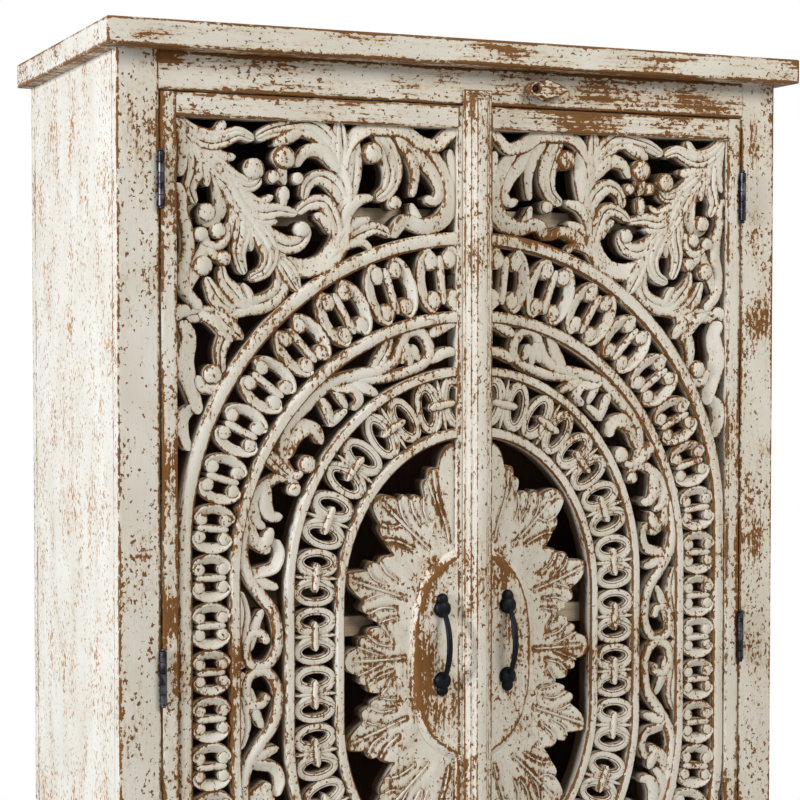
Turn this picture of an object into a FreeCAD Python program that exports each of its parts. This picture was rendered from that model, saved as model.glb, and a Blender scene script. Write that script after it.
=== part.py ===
import FreeCAD
import Part
import math
import os

from FreeCAD import Vector

# Carved jali cabinet: a tall two-door cupboard with pierced, carved door panels.
# Millimetres, +X to the right, +Y to the back, +Z up.
# The origin is on the floor, in the middle of the outline seen from above.

# Case
cabinet_width = 1000.0
cabinet_depth = 480.0
cabinet_height = 1800.0

# Top slab
slab_thickness = 35.0
slab_side_overhang = 21.0
slab_front_overhang = 35.0
slab_corner_cut = 7.0
slab_edge_cut = 3.0

# Face frame and legs
face_post_width = 56.0
face_frame_thickness = 25.0
top_rail_height = 50.0
bottom_rail_height = 75.0
leg_height = 112.0
rear_post_width = 45.0
rear_post_thickness = 25.0
face_tenon_length = 30.0
face_tenon_thickness = 9.0
face_tenon_shoulder = 8.0

# Boards of the case
side_board_thickness = 20.0
board_seam = 0.6
back_board_thickness = 12.0
back_board_count = 5
bottom_board_thickness = 22.0
bottom_board_drop = 2.5
shelf_thickness = 28.0
top_shelf_below_slab = 193.5
middle_shelf_under_nuts = 3.0
low_shelf_above_bottom_board = 235.0
cleat_width = 20.0
cleat_height = 30.0
cleat_end_gap = 6.0

# Doors
door_thickness = 38.0
door_proud = 0.6
hinge_side_gap = 2.6
meeting_gap = 3.0
door_end_gap = 2.5
shelf_to_door_gap = 1.0
hinge_stile_width = 21.0
left_meeting_stile_width = 15.5
right_meeting_stile_width = 34.5
door_rail_height = 31.0
leading_edge_bevel = 3.0
door_tenon_length = 10.0
door_tenon_thickness = 12.0
door_tenon_shoulder = 6.0

# Levels of the carving, measured back from the front of the door
fret_depth = 3.0
leaf_depth = 12.0
medallion_depth = 1.0

# Cover strip over the meeting doors
strip_width = 42.0
strip_lap = 10.0
strip_end_lap = 22.0
strip_step_height = 6.6
strip_step_inset = 7.5
strip_step_slope = 2.0
strip_step_count = 3
strip_relief = 0.5

# Hinges
hinge_height = 70.0
hinge_middle_from_door_end = 113.5
knuckle_count = 3
knuckle_radius = 4.6
knuckle_flat_count = 8
knuckle_gap = 0.4
knuckle_clearance = 0.4
leaf_thickness = 1.1
leaf_reach = 20.0
hinge_pin_radius = 2.0
hinge_pin_clearance = 0.06
pin_tip_radius = 3.2
pin_tip_height = 4.0

# Iron pulls
pull_centres = 100.0
pull_above_middle = 17.0
pull_in_from_stile = 24.0
pull_bow_radius = 4.2
pull_bow_rise = 23.5
pull_bow_section_count = 9
pull_flat_count = 8
boss_radius = 12.5
boss_height = 7.0
boss_flat_count = 10
lobe_radius = 8.5
lobe_height = 5.5
lobe_offset = 13.0
bolt_side = 5.0
bolt_hole_clearance = 0.2
bolt_tail = 9.0
nut_side = 11.0
nut_thickness = 4.0

# Turn button over the doors
button_from_middle = 94.5
button_above_door = 23.7
button_thickness = 19.5
button_clearance = 0.5
button_head_radius = 10.2
button_head_flat_count = 16
button_waist_half_width = 9.0
button_waist_at = 9.0
button_shoulder_half_width = 13.8
button_shoulder_at = 15.0
button_belly_half_width = 9.6
button_belly_at = 34.0
button_length = 52.0
screw_head_radius = 3.6
screw_head_flat_count = 6
screw_hole_radius = 4.3
screw_head_height = 4.0
screw_head_depth = 6.0
screw_radius = 2.5
screw_clearance = 0.05
screw_reach = 18.0

# Places that follow from the sizes
half_width = cabinet_width / 2
face_y = slab_front_overhang - (cabinet_depth + slab_front_overhang) / 2
back_y = face_y + cabinet_depth
frame_back_y = face_y + face_frame_thickness
slab_bottom = cabinet_height - slab_thickness
opening_half_width = half_width - face_post_width
opening_top = slab_bottom - top_rail_height
opening_bottom = leg_height + bottom_rail_height
door_top = opening_top - door_end_gap
door_bottom = opening_bottom + door_end_gap
door_middle = (door_top + door_bottom) / 2
door_front_y = face_y - door_proud
door_back_y = door_front_y + door_thickness
door_outer_x = opening_half_width - hinge_side_gap
door_inner_x = meeting_gap / 2
panel_half_height = (door_top - door_bottom) / 2 - door_rail_height
panel_outer_x = door_outer_x - hinge_stile_width
bottom_board_top = opening_bottom - bottom_board_drop
shelf_front_y = door_back_y + shelf_to_door_gap
rear_post_y = back_y - rear_post_thickness
hinge_pin_x = opening_half_width - hinge_side_gap / 2
knuckle_corner_radius = knuckle_radius / math.cos(math.pi / knuckle_flat_count)
hinge_pin_y = door_front_y - knuckle_corner_radius - knuckle_clearance
button_z = opening_top + button_above_door

# The carver's drawing is squared up. A quarter of the pattern reaches this many squares
# across from the middle of the doors' opening and up from its middle; the first squares
# across lie behind the meeting stile.
squares_across_share = 42.2
squares_hidden_share = 1.7
squares_up_share = 73.3

# Arches that edge the two pierced bands: half width, rise and springing height in
# squares, and the number of chords in a quarter.
arch_shares = {
    "outer band outside": (42.2, 41.9, 17.1, 9),
    "outer band inside": (33.5, 34.2, 12.1, 8),
    "inner band outside": (27.2, 30.3, 10.0, 7),
    "inner band inside": (18.7, 22.5, 7.8, 6),
}

# Eyes pierced through the bands. The pitch of the outer ones grows towards the crown.
link_count = 10
link_growth_share = 0.30
link_across_share = 0.60
link_along_share = 0.66
link_side_count = 6
ring_count = 12
ring_growth_share = 0.0
ring_across_share = 0.56
ring_along_share = 0.66
ring_side_count = 6

# Leaves and stems of the corner carving: each point is (across, up, width) in squares.
corner_stroke_shares = [
    [(42.2, 73.3, 4.4), (34.4, 64.2, 3.2), (26.4, 52.4, 3.0)],
    [(24.2, 54.2, 2.8), (18.6, 60.6, 2.4), (19.1, 74.0, 2.6)],
    [(19.0, 70.0, 2.4), (12.2, 72.4, 2.3), (1.0, 70.6, 2.4)],
    [(12.6, 73.0, 3.0), (10.6, 66.6, 3.2), (19.0, 60.4, 1.8)],
    [(8.6, 72.0, 2.2), (2.9, 65.4, 2.4), (12.4, 56.4, 2.2)],
    [(19.0, 68.8, 2.0), (25.4, 72.0, 3.0), (39.0, 70.0, 2.4)],
    [(18.0, 61.8, 2.0), (27.2, 71.8, 3.0)],
    [(35.0, 64.0, 2.0), (20.6, 57.4, 2.6)],
    [(39.6, 72.0, 2.4), (38.8, 64.0, 2.4), (32.4, 48.4, 2.8)],
    [(26.6, 53.4, 2.2), (30.8, 49.0, 2.6), (43.0, 46.6, 2.4)],
    [(43.0, 65.4, 2.0), (40.2, 55.0, 2.2), (40.6, 46.4, 2.2)],
    [(38.8, 48.0, 2.2), (40.9, 41.0, 2.4), (37.0, 33.0, 1.8)],
    [(34.6, 48.4, 2.0), (36.4, 40.0, 2.2)],
    [(35.2, 55.6, 1.8), (42.2, 57.2, 1.8)],
    [(31.8, 60.8, 2.0), (27.0, 54.6, 1.8)],
]

# Stems and leaves of the scrolling vine between the two bands.
vine_stroke_shares = [
    [(30.2, -1.0, 1.8), (28.2, 5.0, 1.8), (33.2, 15.4, 1.8), (32.2, 22.4, 2.0), (26.9, 25.8, 2.0),
     (26.6, 31.4, 2.0), (18.8, 38.6, 2.0), (11.0, 41.0, 1.9), (6.6, 44.8, 1.8), (1.0, 42.0, 1.6)],
    [(34.2, 1.6, 2.4), (27.8, 10.4, 2.2)],
    [(33.0, 13.2, 1.8), (26.4, 14.4, 2.4)],
    [(26.4, 19.4, 1.6), (32.6, 20.8, 2.4)],
    [(27.2, 28.4, 2.0), (21.0, 31.2, 2.8)],
    [(17.2, 33.2, 1.8), (21.6, 37.2, 2.0)],
    [(13.8, 39.8, 1.8), (10.4, 47.2, 2.4)],
]

# Outline of the flat leaves round the medallion, from the level leaf up to the upright
# one, in squares.
leaf_outline_shares = [
    (18.9, 0.0), (16.1, 2.2), (14.9, 4.6), (16.1, 7.0), (18.2, 11.6), (14.9, 12.8), (10.5, 14.7),
    (13.4, 17.8), (14.2, 21.4), (11.8, 22.9), (9.0, 21.9), (6.2, 22.4), (5.7, 25.6), (4.2, 27.0),
    (1.0, 31.6),
]

# Raised pointed medallion: half width and half height in squares, and its side as shares
# of those.
medallion_half_width_share = 8.7
medallion_half_height_share = 15.2
medallion_side_shares = [(1.0, 0.0), (0.93, 0.46), (0.66, 0.81), (0.12, 1.0)]

# Shares of a boss's radius and height, from its seat to its crown
boss_profile_shares = [(1.0, 0.0), (0.86, 0.55), (0.5, 1.0)]

# Cuts run past the faces they leave by this much
overrun = 2.0

made = {}


def block(x0, x1, y0, y1, z0, z1):
    """A box between pairs of opposite faces, given in either order."""
    low = Vector(min(x0, x1), min(y0, y1), min(z0, z1))
    return Part.makeBox(abs(x1 - x0), abs(y1 - y0), abs(z1 - z0), low)


def rod(radius, start, end):
    way = end - start
    return Part.makeCylinder(radius, way.Length, start, way)


def joined(shapes):
    whole = shapes[0].multiFuse(shapes[1:]) if len(shapes) > 1 else shapes[0]
    return whole.removeSplitter()


def prism(points, way):
    return Part.Face(Part.makePolygon(points + points[:1])).extrude(way)


def upright_prism(points, z0, z1):
    """A prism on (x, y) points."""
    return prism([Vector(x, y, z0) for x, y in points], Vector(0, 0, z1 - z0))


def level_prism(points, y0, y1):
    """A prism on (x, z) points, from front to back."""
    return prism([Vector(x, y0, z) for x, z in points], Vector(0, y1 - y0, 0))


def ring_points(centre, radii, turn, sides):
    """A polygon whose flats touch an ellipse; its second radius lies along turn."""
    reach = 1 / math.cos(math.pi / sides)
    points = []
    for number in range(sides):
        angle = 2 * math.pi * (number + 1 / 2) / sides
        across = radii[0] * reach * math.cos(angle)
        along = radii[1] * reach * math.sin(angle)
        points.append((centre[0] + across * turn[1] + along * turn[0],
                       centre[1] - across * turn[0] + along * turn[1]))
    return points


def faceted(sections):
    """A solid with flat facets between polygons of equal count."""
    rims = [Part.Face(Part.makePolygon(points + points[:1])) for points in (sections[0], sections[-1])]
    for one, other in zip(sections, sections[1:]):
        for number in range(len(one)):
            corners = [one[number - 1], one[number], other[number], other[number - 1]]
            rims.append(Part.Face(Part.makePolygon(corners + corners[:1])))
    shell = Part.Shell(rims)
    solid = Part.Solid(shell)
    return solid if solid.Volume > 0 else solid.reversed()


def save(name, shape):
    if shape.ShapeType != "Solid" and len(shape.Solids) == 1:
        shape = shape.Solids[0]
    made[name] = shape
    shape.exportStep("parts/" + name + ".step")


def make_slab():
    side = half_width + slab_side_overhang
    slab = block(-side, side, face_y - slab_front_overhang, back_y, slab_bottom, cabinet_height)
    corners = [edge for edge in slab.Edges if edge.BoundBox.ZLength > slab_thickness / 2]
    slab = slab.makeChamfer(slab_corner_cut, corners)
    rims = [edge for edge in slab.Edges if edge.BoundBox.ZLength < slab_thickness / 2]
    save("top_slab", slab.makeChamfer(slab_edge_cut, rims))


def rail_with_tenons(x_ends, y_ends, z_ends, tenon):
    """A rail between two uprights and the tenons it carries at both ends."""
    length, thickness, shoulder = tenon
    middle_y = sum(y_ends) / 2
    rail = block(*x_ends, *y_ends, *z_ends)
    core = block(min(x_ends) - length, max(x_ends) + length,
                 middle_y - thickness / 2, middle_y + thickness / 2,
                 min(z_ends) + shoulder, max(z_ends) - shoulder)
    return rail.fuse(core).removeSplitter(), core


def make_face_frame():
    tenon = (face_tenon_length, face_tenon_thickness, face_tenon_shoulder)
    x_ends = (-opening_half_width, opening_half_width)
    y_ends = (face_y, frame_back_y)
    top_rail, top_core = rail_with_tenons(x_ends, y_ends, (opening_top, slab_bottom), tenon)
    bottom_rail, bottom_core = rail_with_tenons(x_ends, y_ends, (leg_height, opening_bottom), tenon)
    screw_hole = rod(screw_radius, Vector(button_from_middle, face_y - overrun, button_z),
                     Vector(button_from_middle, face_y + screw_reach, button_z))
    save("face_top_rail", top_rail.cut(screw_hole))
    save("face_bottom_rail", bottom_rail)
    for side, name in ((-1, "left"), (1, "right")):
        post = block(side * opening_half_width, side * half_width, *y_ends, 0, slab_bottom)
        save("face_post_" + name, post.cut(top_core).cut(bottom_core))
        save("rear_post_" + name, block(side * (half_width - rear_post_width), side * half_width,
                                        rear_post_y, back_y, 0, slab_bottom))


def shelf_bottoms():
    """Undersides of the three shelves; the middle one clears the upper nuts of the pulls."""
    upper_nut_bottom = bolt_heights()[1] - nut_side / 2
    return [slab_bottom - top_shelf_below_slab - shelf_thickness,
            upper_nut_bottom - middle_shelf_under_nuts - shelf_thickness,
            bottom_board_top + low_shelf_above_bottom_board]


def make_case_boards():
    inner = half_width - side_board_thickness
    seam_y = (frame_back_y + rear_post_y) / 2
    board_bottom = bottom_board_top - bottom_board_thickness
    save("bottom_board", block(-inner, inner, frame_back_y, rear_post_y, board_bottom, bottom_board_top))
    for number, bottom in enumerate(shelf_bottoms()):
        save("shelf_" + str(number + 1),
             block(-inner, inner, shelf_front_y, rear_post_y, bottom, bottom + shelf_thickness))
    for side, name in ((-1, "left"), (1, "right")):
        save("side_board_front_" + name, block(side * inner, side * half_width, frame_back_y,
                                               seam_y - board_seam / 2, leg_height, slab_bottom))
        save("side_board_rear_" + name, block(side * inner, side * half_width,
                                              seam_y + board_seam / 2, rear_post_y,
                                              leg_height, slab_bottom))
        cleats = [block(side * (inner - cleat_width), side * inner, shelf_front_y + cleat_end_gap,
                        rear_post_y - cleat_end_gap, bottom - cleat_height, bottom)
                  for bottom in shelf_bottoms() + [board_bottom]]
        save("shelf_cleats_" + name, Part.makeCompound(cleats))


def make_back():
    side = half_width - rear_post_width
    board_width = (2 * side - (back_board_count - 1) * board_seam) / back_board_count
    for number in range(back_board_count):
        x0 = -side + number * (board_width + board_seam)
        save("back_board_" + str(number + 1),
             block(x0, x0 + board_width, rear_post_y, rear_post_y + back_board_thickness,
                   leg_height, slab_bottom))


def panel_inner_x(side):
    stile = left_meeting_stile_width if side < 0 else right_meeting_stile_width
    return door_inner_x + stile


def make_door_frame(side, name):
    """Two stiles with mortises and two rails with tenons round the carved panel."""
    inner = panel_inner_x(side)
    tenon = (door_tenon_length, door_tenon_thickness, door_tenon_shoulder)
    x_ends = (side * inner, side * panel_outer_x)
    y_ends = (door_front_y, door_back_y)
    top_rail, top_core = rail_with_tenons(x_ends, y_ends, (door_top - door_rail_height, door_top), tenon)
    bottom_rail, bottom_core = rail_with_tenons(x_ends, y_ends,
                                                (door_bottom, door_bottom + door_rail_height), tenon)
    save("door_top_rail_" + name, top_rail)
    save("door_bottom_rail_" + name, bottom_rail)
    hinge_stile = block(side * panel_outer_x, side * door_outer_x, *y_ends, door_bottom, door_top)
    outline = [(door_inner_x, door_front_y), (inner, door_front_y), (inner, door_back_y),
               (door_inner_x + leading_edge_bevel, door_back_y)]
    meeting_stile = upright_prism([(side * x, y) for x, y in outline], door_bottom, door_top)
    save("door_hinge_stile_" + name, hinge_stile.cut(top_core).cut(bottom_core))
    save("door_meeting_stile_" + name, meeting_stile.cut(top_core).cut(bottom_core))


def stroke_outline(points):
    """Outline of a carved stem through (x, z, width) points, with square ends."""
    left = []
    right = []
    last = len(points) - 1
    for number, (x, z, width) in enumerate(points):
        before = points[max(number - 1, 0)]
        after = points[min(number + 1, last)]
        way_x = after[0] - before[0]
        way_z = after[1] - before[1]
        half = width / 2 / math.hypot(way_x, way_z)
        left.append((x - way_z * half, z + way_x * half))
        right.append((x + way_z * half, z - way_x * half))
    return left + right[::-1]


def arch_line(half_wide, rise, spring, chords):
    """Points of a straight-sided arch in squares, from the level middle line to its crown."""
    angles = [math.pi / 2 * number / chords for number in range(chords + 1)]
    curve = [(half_wide * math.cos(angle), spring + rise * math.sin(angle)) for angle in angles]
    return [(half_wide, 0)] + curve


def spread_along(line, count, growth):
    """Places on a line of points; the pitch grows from the first place to the last."""
    steps = [math.hypot(b[0] - a[0], b[1] - a[1]) for a, b in zip(line, line[1:])]
    weights = [1 + growth * number / count for number in range(count)]
    scale = sum(steps) / sum(weights)
    for number, weight in enumerate(weights):
        reach = (sum(weights[:number]) + weight / 2) * scale
        leg = 0
        while reach > steps[leg]:
            reach -= steps[leg]
            leg += 1
        turn = [(b - a) / steps[leg] for a, b in zip(line[leg], line[leg + 1])]
        place = [a + way * reach for a, way in zip(line[leg], turn)]
        yield place, turn, weight * scale


def pierced_band(outside, inside, eyes):
    """Outline of a band between two arches, and the eyes that follow its middle."""
    count, growth, across_share, along_share, sides = eyes
    outer = arch_shares[outside]
    inner = arch_shares[inside]
    mean = [(a + b) / 2 for a, b in zip(outer[:3], inner[:3])]
    side_half = (outer[0] - inner[0]) / 2
    crown_half = (outer[1] + outer[2] - inner[1] - inner[2]) / 2
    outlines = []
    for place, turn, pitch in spread_along(arch_line(*mean, count * sides), count, growth):
        height = place[1] / (mean[1] + mean[2])
        half = side_half + (crown_half - side_half) * height ** 2
        outlines.append(ring_points(place, (half * across_share, pitch / 2 * along_share), turn, sides))
    return arch_line(*outer) + arch_line(*inner)[::-1], outlines


def carved_panel(side):
    """One door's pierced panel: a quarter is carved and mirrored about its level middle."""
    inner = panel_inner_x(side)
    square_up = panel_half_height / squares_up_share
    square_across = (panel_outer_x - inner) / (squares_across_share - squares_hidden_share)
    square = (square_up + square_across) / 2

    def placed(outline):
        return [(side * (inner + (across - squares_hidden_share) * square_across), up * square_up)
                for across, up in outline]

    def layer(outline, depth):
        return level_prism(placed(outline), door_front_y + depth, door_back_y)

    def stroke(points):
        line = [(*placed([(across, up)])[0], width * square) for across, up, width in points]
        return level_prism(stroke_outline(line), door_front_y + fret_depth, door_back_y)

    links = (link_count, link_growth_share, link_across_share, link_along_share, link_side_count)
    rings = (ring_count, ring_growth_share, ring_across_share, ring_along_share, ring_side_count)
    pieces = [stroke(points) for points in corner_stroke_shares + vine_stroke_shares]
    for outside, inside, eyes in (("outer band outside", "outer band inside", links),
                                  ("inner band outside", "inner band inside", rings)):
        outline, holes = pierced_band(outside, inside, eyes)
        band = layer(outline, fret_depth)
        pieces.append(band.cut(Part.makeCompound([layer(hole, 0) for hole in holes])))
    top_leaf = leaf_outline_shares[-1][1]
    pieces.append(layer(leaf_outline_shares + [(0, top_leaf), (0, 0)], leaf_depth))
    medallion = [(medallion_half_width_share * a, medallion_half_height_share * b)
                 for a, b in medallion_side_shares]
    pieces.append(layer(medallion + [(0, medallion_half_height_share), (0, 0)], medallion_depth))

    room = block(side * inner, side * panel_outer_x, door_front_y, door_back_y, 0, panel_half_height)
    quarter = joined(pieces).common(room)
    panel = joined([quarter, quarter.mirror(Vector(0, 0, 0), Vector(0, 0, 1))])
    panel.translate(Vector(0, 0, door_middle))
    half_hole = bolt_side / 2 + bolt_hole_clearance
    x = pull_x(side)
    for z in bolt_heights():
        panel = panel.cut(block(x - half_hole, x + half_hole, door_front_y - overrun,
                                door_back_y + overrun, z - half_hole, z + half_hole))
    return panel


def pull_x(side):
    return side * (panel_inner_x(side) + pull_in_from_stile)


def bolt_heights():
    middle = door_middle + pull_above_middle
    return [middle - pull_centres / 2, middle + pull_centres / 2]


def boss(x, y, z, radius, height):
    """A flat-backed forged boss that faces the front."""
    sections = []
    for radius_share, height_share in boss_profile_shares:
        reach = radius * radius_share
        outline = ring_points((x, z), (reach, reach), (0, 1), boss_flat_count)
        sections.append([Vector(a, y - height * height_share, b) for a, b in outline])
    return faceted(sections)


def pull_bow(x, y, low, high):
    """The bowed grip: a faceted bar that runs round an arc from boss to boss."""
    half = (high - low) / 2
    arc_radius = (half ** 2 + pull_bow_rise ** 2) / (2 * pull_bow_rise)
    centre_y = y - pull_bow_rise + arc_radius
    swing = math.asin(half / arc_radius)
    sections = []
    for number in range(pull_bow_section_count):
        angle = swing * (2 * number / (pull_bow_section_count - 1) - 1)
        outline = ring_points((0, 0), (pull_bow_radius, pull_bow_radius), (0, 1), pull_flat_count)
        sections.append([Vector(x + across, centre_y - (arc_radius + out) * math.cos(angle),
                                (low + high) / 2 + (arc_radius + out) * math.sin(angle))
                         for across, out in outline])
    return faceted(sections)


def make_pull(side, name):
    x = pull_x(side)
    y = door_front_y + medallion_depth
    low, high = bolt_heights()
    pieces = [boss(x, y, low, boss_radius, boss_height), boss(x, y, high, boss_radius, boss_height),
              boss(x, y, low - lobe_offset, lobe_radius, lobe_height),
              boss(x, y, high + lobe_offset, lobe_radius, lobe_height)]
    wide = boss_radius + overrun
    front = block(x - wide, x + wide, y - pull_bow_rise - boss_height, y, low - wide, high + wide)
    pieces.append(pull_bow(x, y - boss_height / 2, low, high).common(front))
    save("pull_" + name, joined(pieces))
    bolts = []
    for z in (low, high):
        shank = block(x - bolt_side / 2, x + bolt_side / 2, y, door_back_y + bolt_tail,
                      z - bolt_side / 2, z + bolt_side / 2)
        nut = block(x - nut_side / 2, x + nut_side / 2, door_back_y, door_back_y + nut_thickness,
                    z - nut_side / 2, z + nut_side / 2)
        bolts.append(shank.fuse(nut))
    save("pull_bolts_" + name, Part.makeCompound(bolts))


def make_cover_strip():
    """Stepped strip on the right door that laps over the left one."""
    left = -strip_lap
    right = strip_width - strip_lap
    low = door_bottom - strip_end_lap
    high = door_top + strip_end_lap
    steps = []
    for number in range(strip_step_count):
        back = door_front_y - number * strip_step_height
        sections = []
        for inset, y in ((number * strip_step_inset, back),
                         (number * strip_step_inset + strip_step_slope, back - strip_step_height)):
            sections.append([Vector(left + inset, y, low + inset), Vector(right - inset, y, low + inset),
                             Vector(right - inset, y, high - inset), Vector(left + inset, y, high - inset)])
        steps.append(faceted(sections))
    lip = block(left - overrun, door_inner_x, door_front_y - strip_relief, door_front_y + overrun,
                low - overrun, high + overrun)
    save("cover_strip", joined(steps).cut(lip))


def hinge_levels():
    return [door_bottom + hinge_middle_from_door_end, door_middle,
            door_top - hinge_middle_from_door_end]


def hinge_leaf(side, level, on_door):
    """One leaf with its knuckles; the frame leaf has the outer knuckles."""
    low = level - hinge_height / 2
    pitch = (hinge_height + knuckle_gap) / knuckle_count
    x = side * hinge_pin_x
    wood = side * (door_outer_x if on_door else opening_half_width)
    inner = wood + side * leaf_thickness * (1 if on_door else -1)
    plate_front = hinge_pin_y + knuckle_corner_radius + knuckle_clearance
    pieces = [block(wood, inner, plate_front, plate_front + leaf_reach, low, low + hinge_height)]
    bores = []
    for number in range(1 if on_door else 0, knuckle_count, 2):
        z0 = low + number * pitch
        z1 = z0 + pitch - knuckle_gap
        outline = ring_points((x, hinge_pin_y), (knuckle_radius, knuckle_radius), (0, 1), knuckle_flat_count)
        pieces.append(upright_prism(outline, z0, z1))
        pieces.append(block(wood, inner, hinge_pin_y, plate_front, z0, z1))
        bores.append(rod(hinge_pin_radius + hinge_pin_clearance, Vector(x, hinge_pin_y, z0 - overrun),
                         Vector(x, hinge_pin_y, z1 + overrun)))
    return joined(pieces).cut(Part.makeCompound(bores))


def hinge_pin(side, level):
    """A pin with a pointed tip at each end."""
    x = side * hinge_pin_x
    low = level - hinge_height / 2
    high = level + hinge_height / 2
    pieces = [rod(hinge_pin_radius, Vector(x, hinge_pin_y, low), Vector(x, hinge_pin_y, high))]
    for z, turn in ((low, -1), (high, 1)):
        foot = ring_points((x, hinge_pin_y), (pin_tip_radius, pin_tip_radius), (0, 1), knuckle_flat_count)
        crown = ring_points((x, hinge_pin_y), (pin_tip_radius / 2, pin_tip_radius / 2), (0, 1),
                            knuckle_flat_count)
        pieces.append(faceted([[Vector(a, b, z) for a, b in foot],
                              [Vector(a, b, z + turn * pin_tip_height) for a, b in crown]]))
    return joined(pieces)


def make_hinges(side, name):
    levels = hinge_levels()
    frame_leaves = [hinge_leaf(side, level, False) for level in levels]
    door_leaves = [hinge_leaf(side, level, True) for level in levels]
    save("hinge_frame_leaves_" + name, Part.makeCompound(frame_leaves))
    save("hinge_door_leaves_" + name, Part.makeCompound(door_leaves))
    save("hinge_pins_" + name, Part.makeCompound([hinge_pin(side, level) for level in levels]))


def make_turn_button():
    """Spear-shaped wooden button, stored turned aside with its tip to the right."""
    x = button_from_middle
    back = door_front_y - button_clearance
    front = back - button_thickness
    spear = [(button_waist_at, button_waist_half_width), (button_shoulder_at, button_shoulder_half_width),
             (button_belly_at, button_belly_half_width), (button_length, 0)]
    lower = [(x + reach, button_z - half) for reach, half in spear]
    upper = [(x + reach, button_z + half) for reach, half in spear[-2::-1]]
    head = ring_points((x, button_z), (button_head_radius, button_head_radius), (0, 1),
                       button_head_flat_count)
    body =level_prism([(x, button_z - button_waist_half_width)] + lower + upper
                       + [(x, button_z + button_waist_half_width)], front, back)
    button = joined([level_prism(head, front, back), body])
    head_hole = rod(screw_hole_radius, Vector(x, front - overrun, button_z),
                    Vector(x, front + screw_head_depth + screw_head_height + screw_clearance, button_z))
    hole = rod(screw_radius + screw_clearance, Vector(x, front - overrun, button_z),
               Vector(x, back + overrun, button_z))
    save("turn_button", button.cut(head_hole).cut(hole))
    head_y = front + screw_head_depth
    head = ring_points((x, button_z), (screw_head_radius, screw_head_radius), (0, 1), screw_head_flat_count)
    screw = [level_prism(head, head_y, head_y + screw_head_height),
             rod(screw_radius, Vector(x, head_y, button_z), Vector(x, face_y + screw_reach, button_z))]
    save("turn_button_screw", joined(screw))


def make_doors():
    for side, name in ((-1, "left"), (1, "right")):
        make_door_frame(side, name)
        save("carved_panel_" + name, carved_panel(side))
        make_pull(side, name)
        make_hinges(side, name)
    make_cover_strip()


os.makedirs("parts", exist_ok=True)
make_slab()
make_face_frame()
make_case_boards()
make_back()
make_doors()
make_turn_button()

for name, shape in made.items():
    box = shape.BoundBox
    print(name, "solids", len(shape.Solids), "sound", shape.isValid(),
          "x %.1f..%.1f y %.1f..%.1f z %.1f..%.1f" % (box.XMin, box.XMax, box.YMin, box.YMax,
                                                      box.ZMin, box.ZMax))
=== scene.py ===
import math

import bpy
import numpy as np
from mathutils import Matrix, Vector


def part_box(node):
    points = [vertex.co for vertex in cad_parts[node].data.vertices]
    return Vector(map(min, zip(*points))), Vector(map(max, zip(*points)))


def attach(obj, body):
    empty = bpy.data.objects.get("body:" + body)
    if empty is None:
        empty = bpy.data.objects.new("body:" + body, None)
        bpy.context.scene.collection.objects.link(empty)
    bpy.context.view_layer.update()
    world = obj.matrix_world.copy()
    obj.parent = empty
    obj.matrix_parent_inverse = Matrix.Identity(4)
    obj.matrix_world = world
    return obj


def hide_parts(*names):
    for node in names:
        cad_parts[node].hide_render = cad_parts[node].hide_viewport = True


# A carved jali cabinet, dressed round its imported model. Lengths in the tables are
# millimetres, and the carver's drawing is in squares of about 10 mm.

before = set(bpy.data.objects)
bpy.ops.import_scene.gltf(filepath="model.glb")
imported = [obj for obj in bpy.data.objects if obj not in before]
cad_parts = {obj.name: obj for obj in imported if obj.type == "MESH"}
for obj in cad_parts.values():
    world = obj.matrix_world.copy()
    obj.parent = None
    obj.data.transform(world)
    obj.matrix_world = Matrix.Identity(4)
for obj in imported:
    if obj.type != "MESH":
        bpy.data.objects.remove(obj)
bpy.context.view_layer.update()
MM = 0.001

# The photograph's camera: its place, turn and tilt, and its lens
CAMERA_PLACE = (-1173.0, -2676.3, 1406.1)
CAMERA_TURN = 0.4107
CAMERA_TILT = 0.0344
CAMERA_ROLL = 0.0002
LENS = 88.217
SENSOR = 36.0
SHIFT_UP = -0.00544
FAR_CLIP = 60

# Door carving, in squares: how far a quarter of the pattern reaches
HIDDEN = 1.7
ACROSS = 42.2
UP = 73.3

DOOR_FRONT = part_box("door_top_rail_left")[0].y / MM
DOOR_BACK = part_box("door_top_rail_left")[1].y / MM
PANEL_LOW, PANEL_HIGH = (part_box("carved_panel_left")[end].z / MM for end in (0, 1))
MIDDLE = (PANEL_LOW + PANEL_HIGH) / 2
PANEL_OUTER = -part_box("carved_panel_left")[0].x / MM
PANEL_INNER = {-1: -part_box("carved_panel_left")[1].x / MM, 1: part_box("carved_panel_right")[0].x / MM}
SIDES = ((-1, "left"), (1, "right"))


# Materials

def linear(code):
    """An sRGB hex colour as the renderer's linear numbers."""
    parts = [int(code[start:start + 2], 16) / 255 for start in (0, 2, 4)]
    return tuple(p / 12.92 if p <= 0.04045 else ((p + 0.055) / 1.055) ** 2.4 for p in parts) + (1.0,)


def add(tree, kind, links=None, **settings):
    """Adds a node; links gives each input a socket to follow or a value."""
    made = tree.nodes.new(kind)
    for key, value in settings.items():
        setattr(made, key, value)
    for key, value in (links or {}).items():
        if isinstance(value, bpy.types.NodeSocket):
            tree.links.new(value, made.inputs[key])
        else:
            made.inputs[key].default_value = value
    return made


def blank_material(name):
    """A new material and its empty node tree."""
    material = bpy.data.materials.new(name)
    material.use_nodes = True
    tree = material.node_tree
    tree.nodes.clear()
    return material, tree


def finish_surface(tree, settings):
    """Ends a material's tree with its shader and output."""
    shader = add(tree, "ShaderNodeBsdfPrincipled", settings)
    add(tree, "ShaderNodeOutputMaterial", {"Surface": shader.outputs[0]})


def grain_scale(grain, across, along):
    """Mapping scale that makes a pattern of this size in mm, drawn out along the grain."""
    return tuple(1000 / (along if axis == grain else across) for axis in "XYZ")


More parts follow.
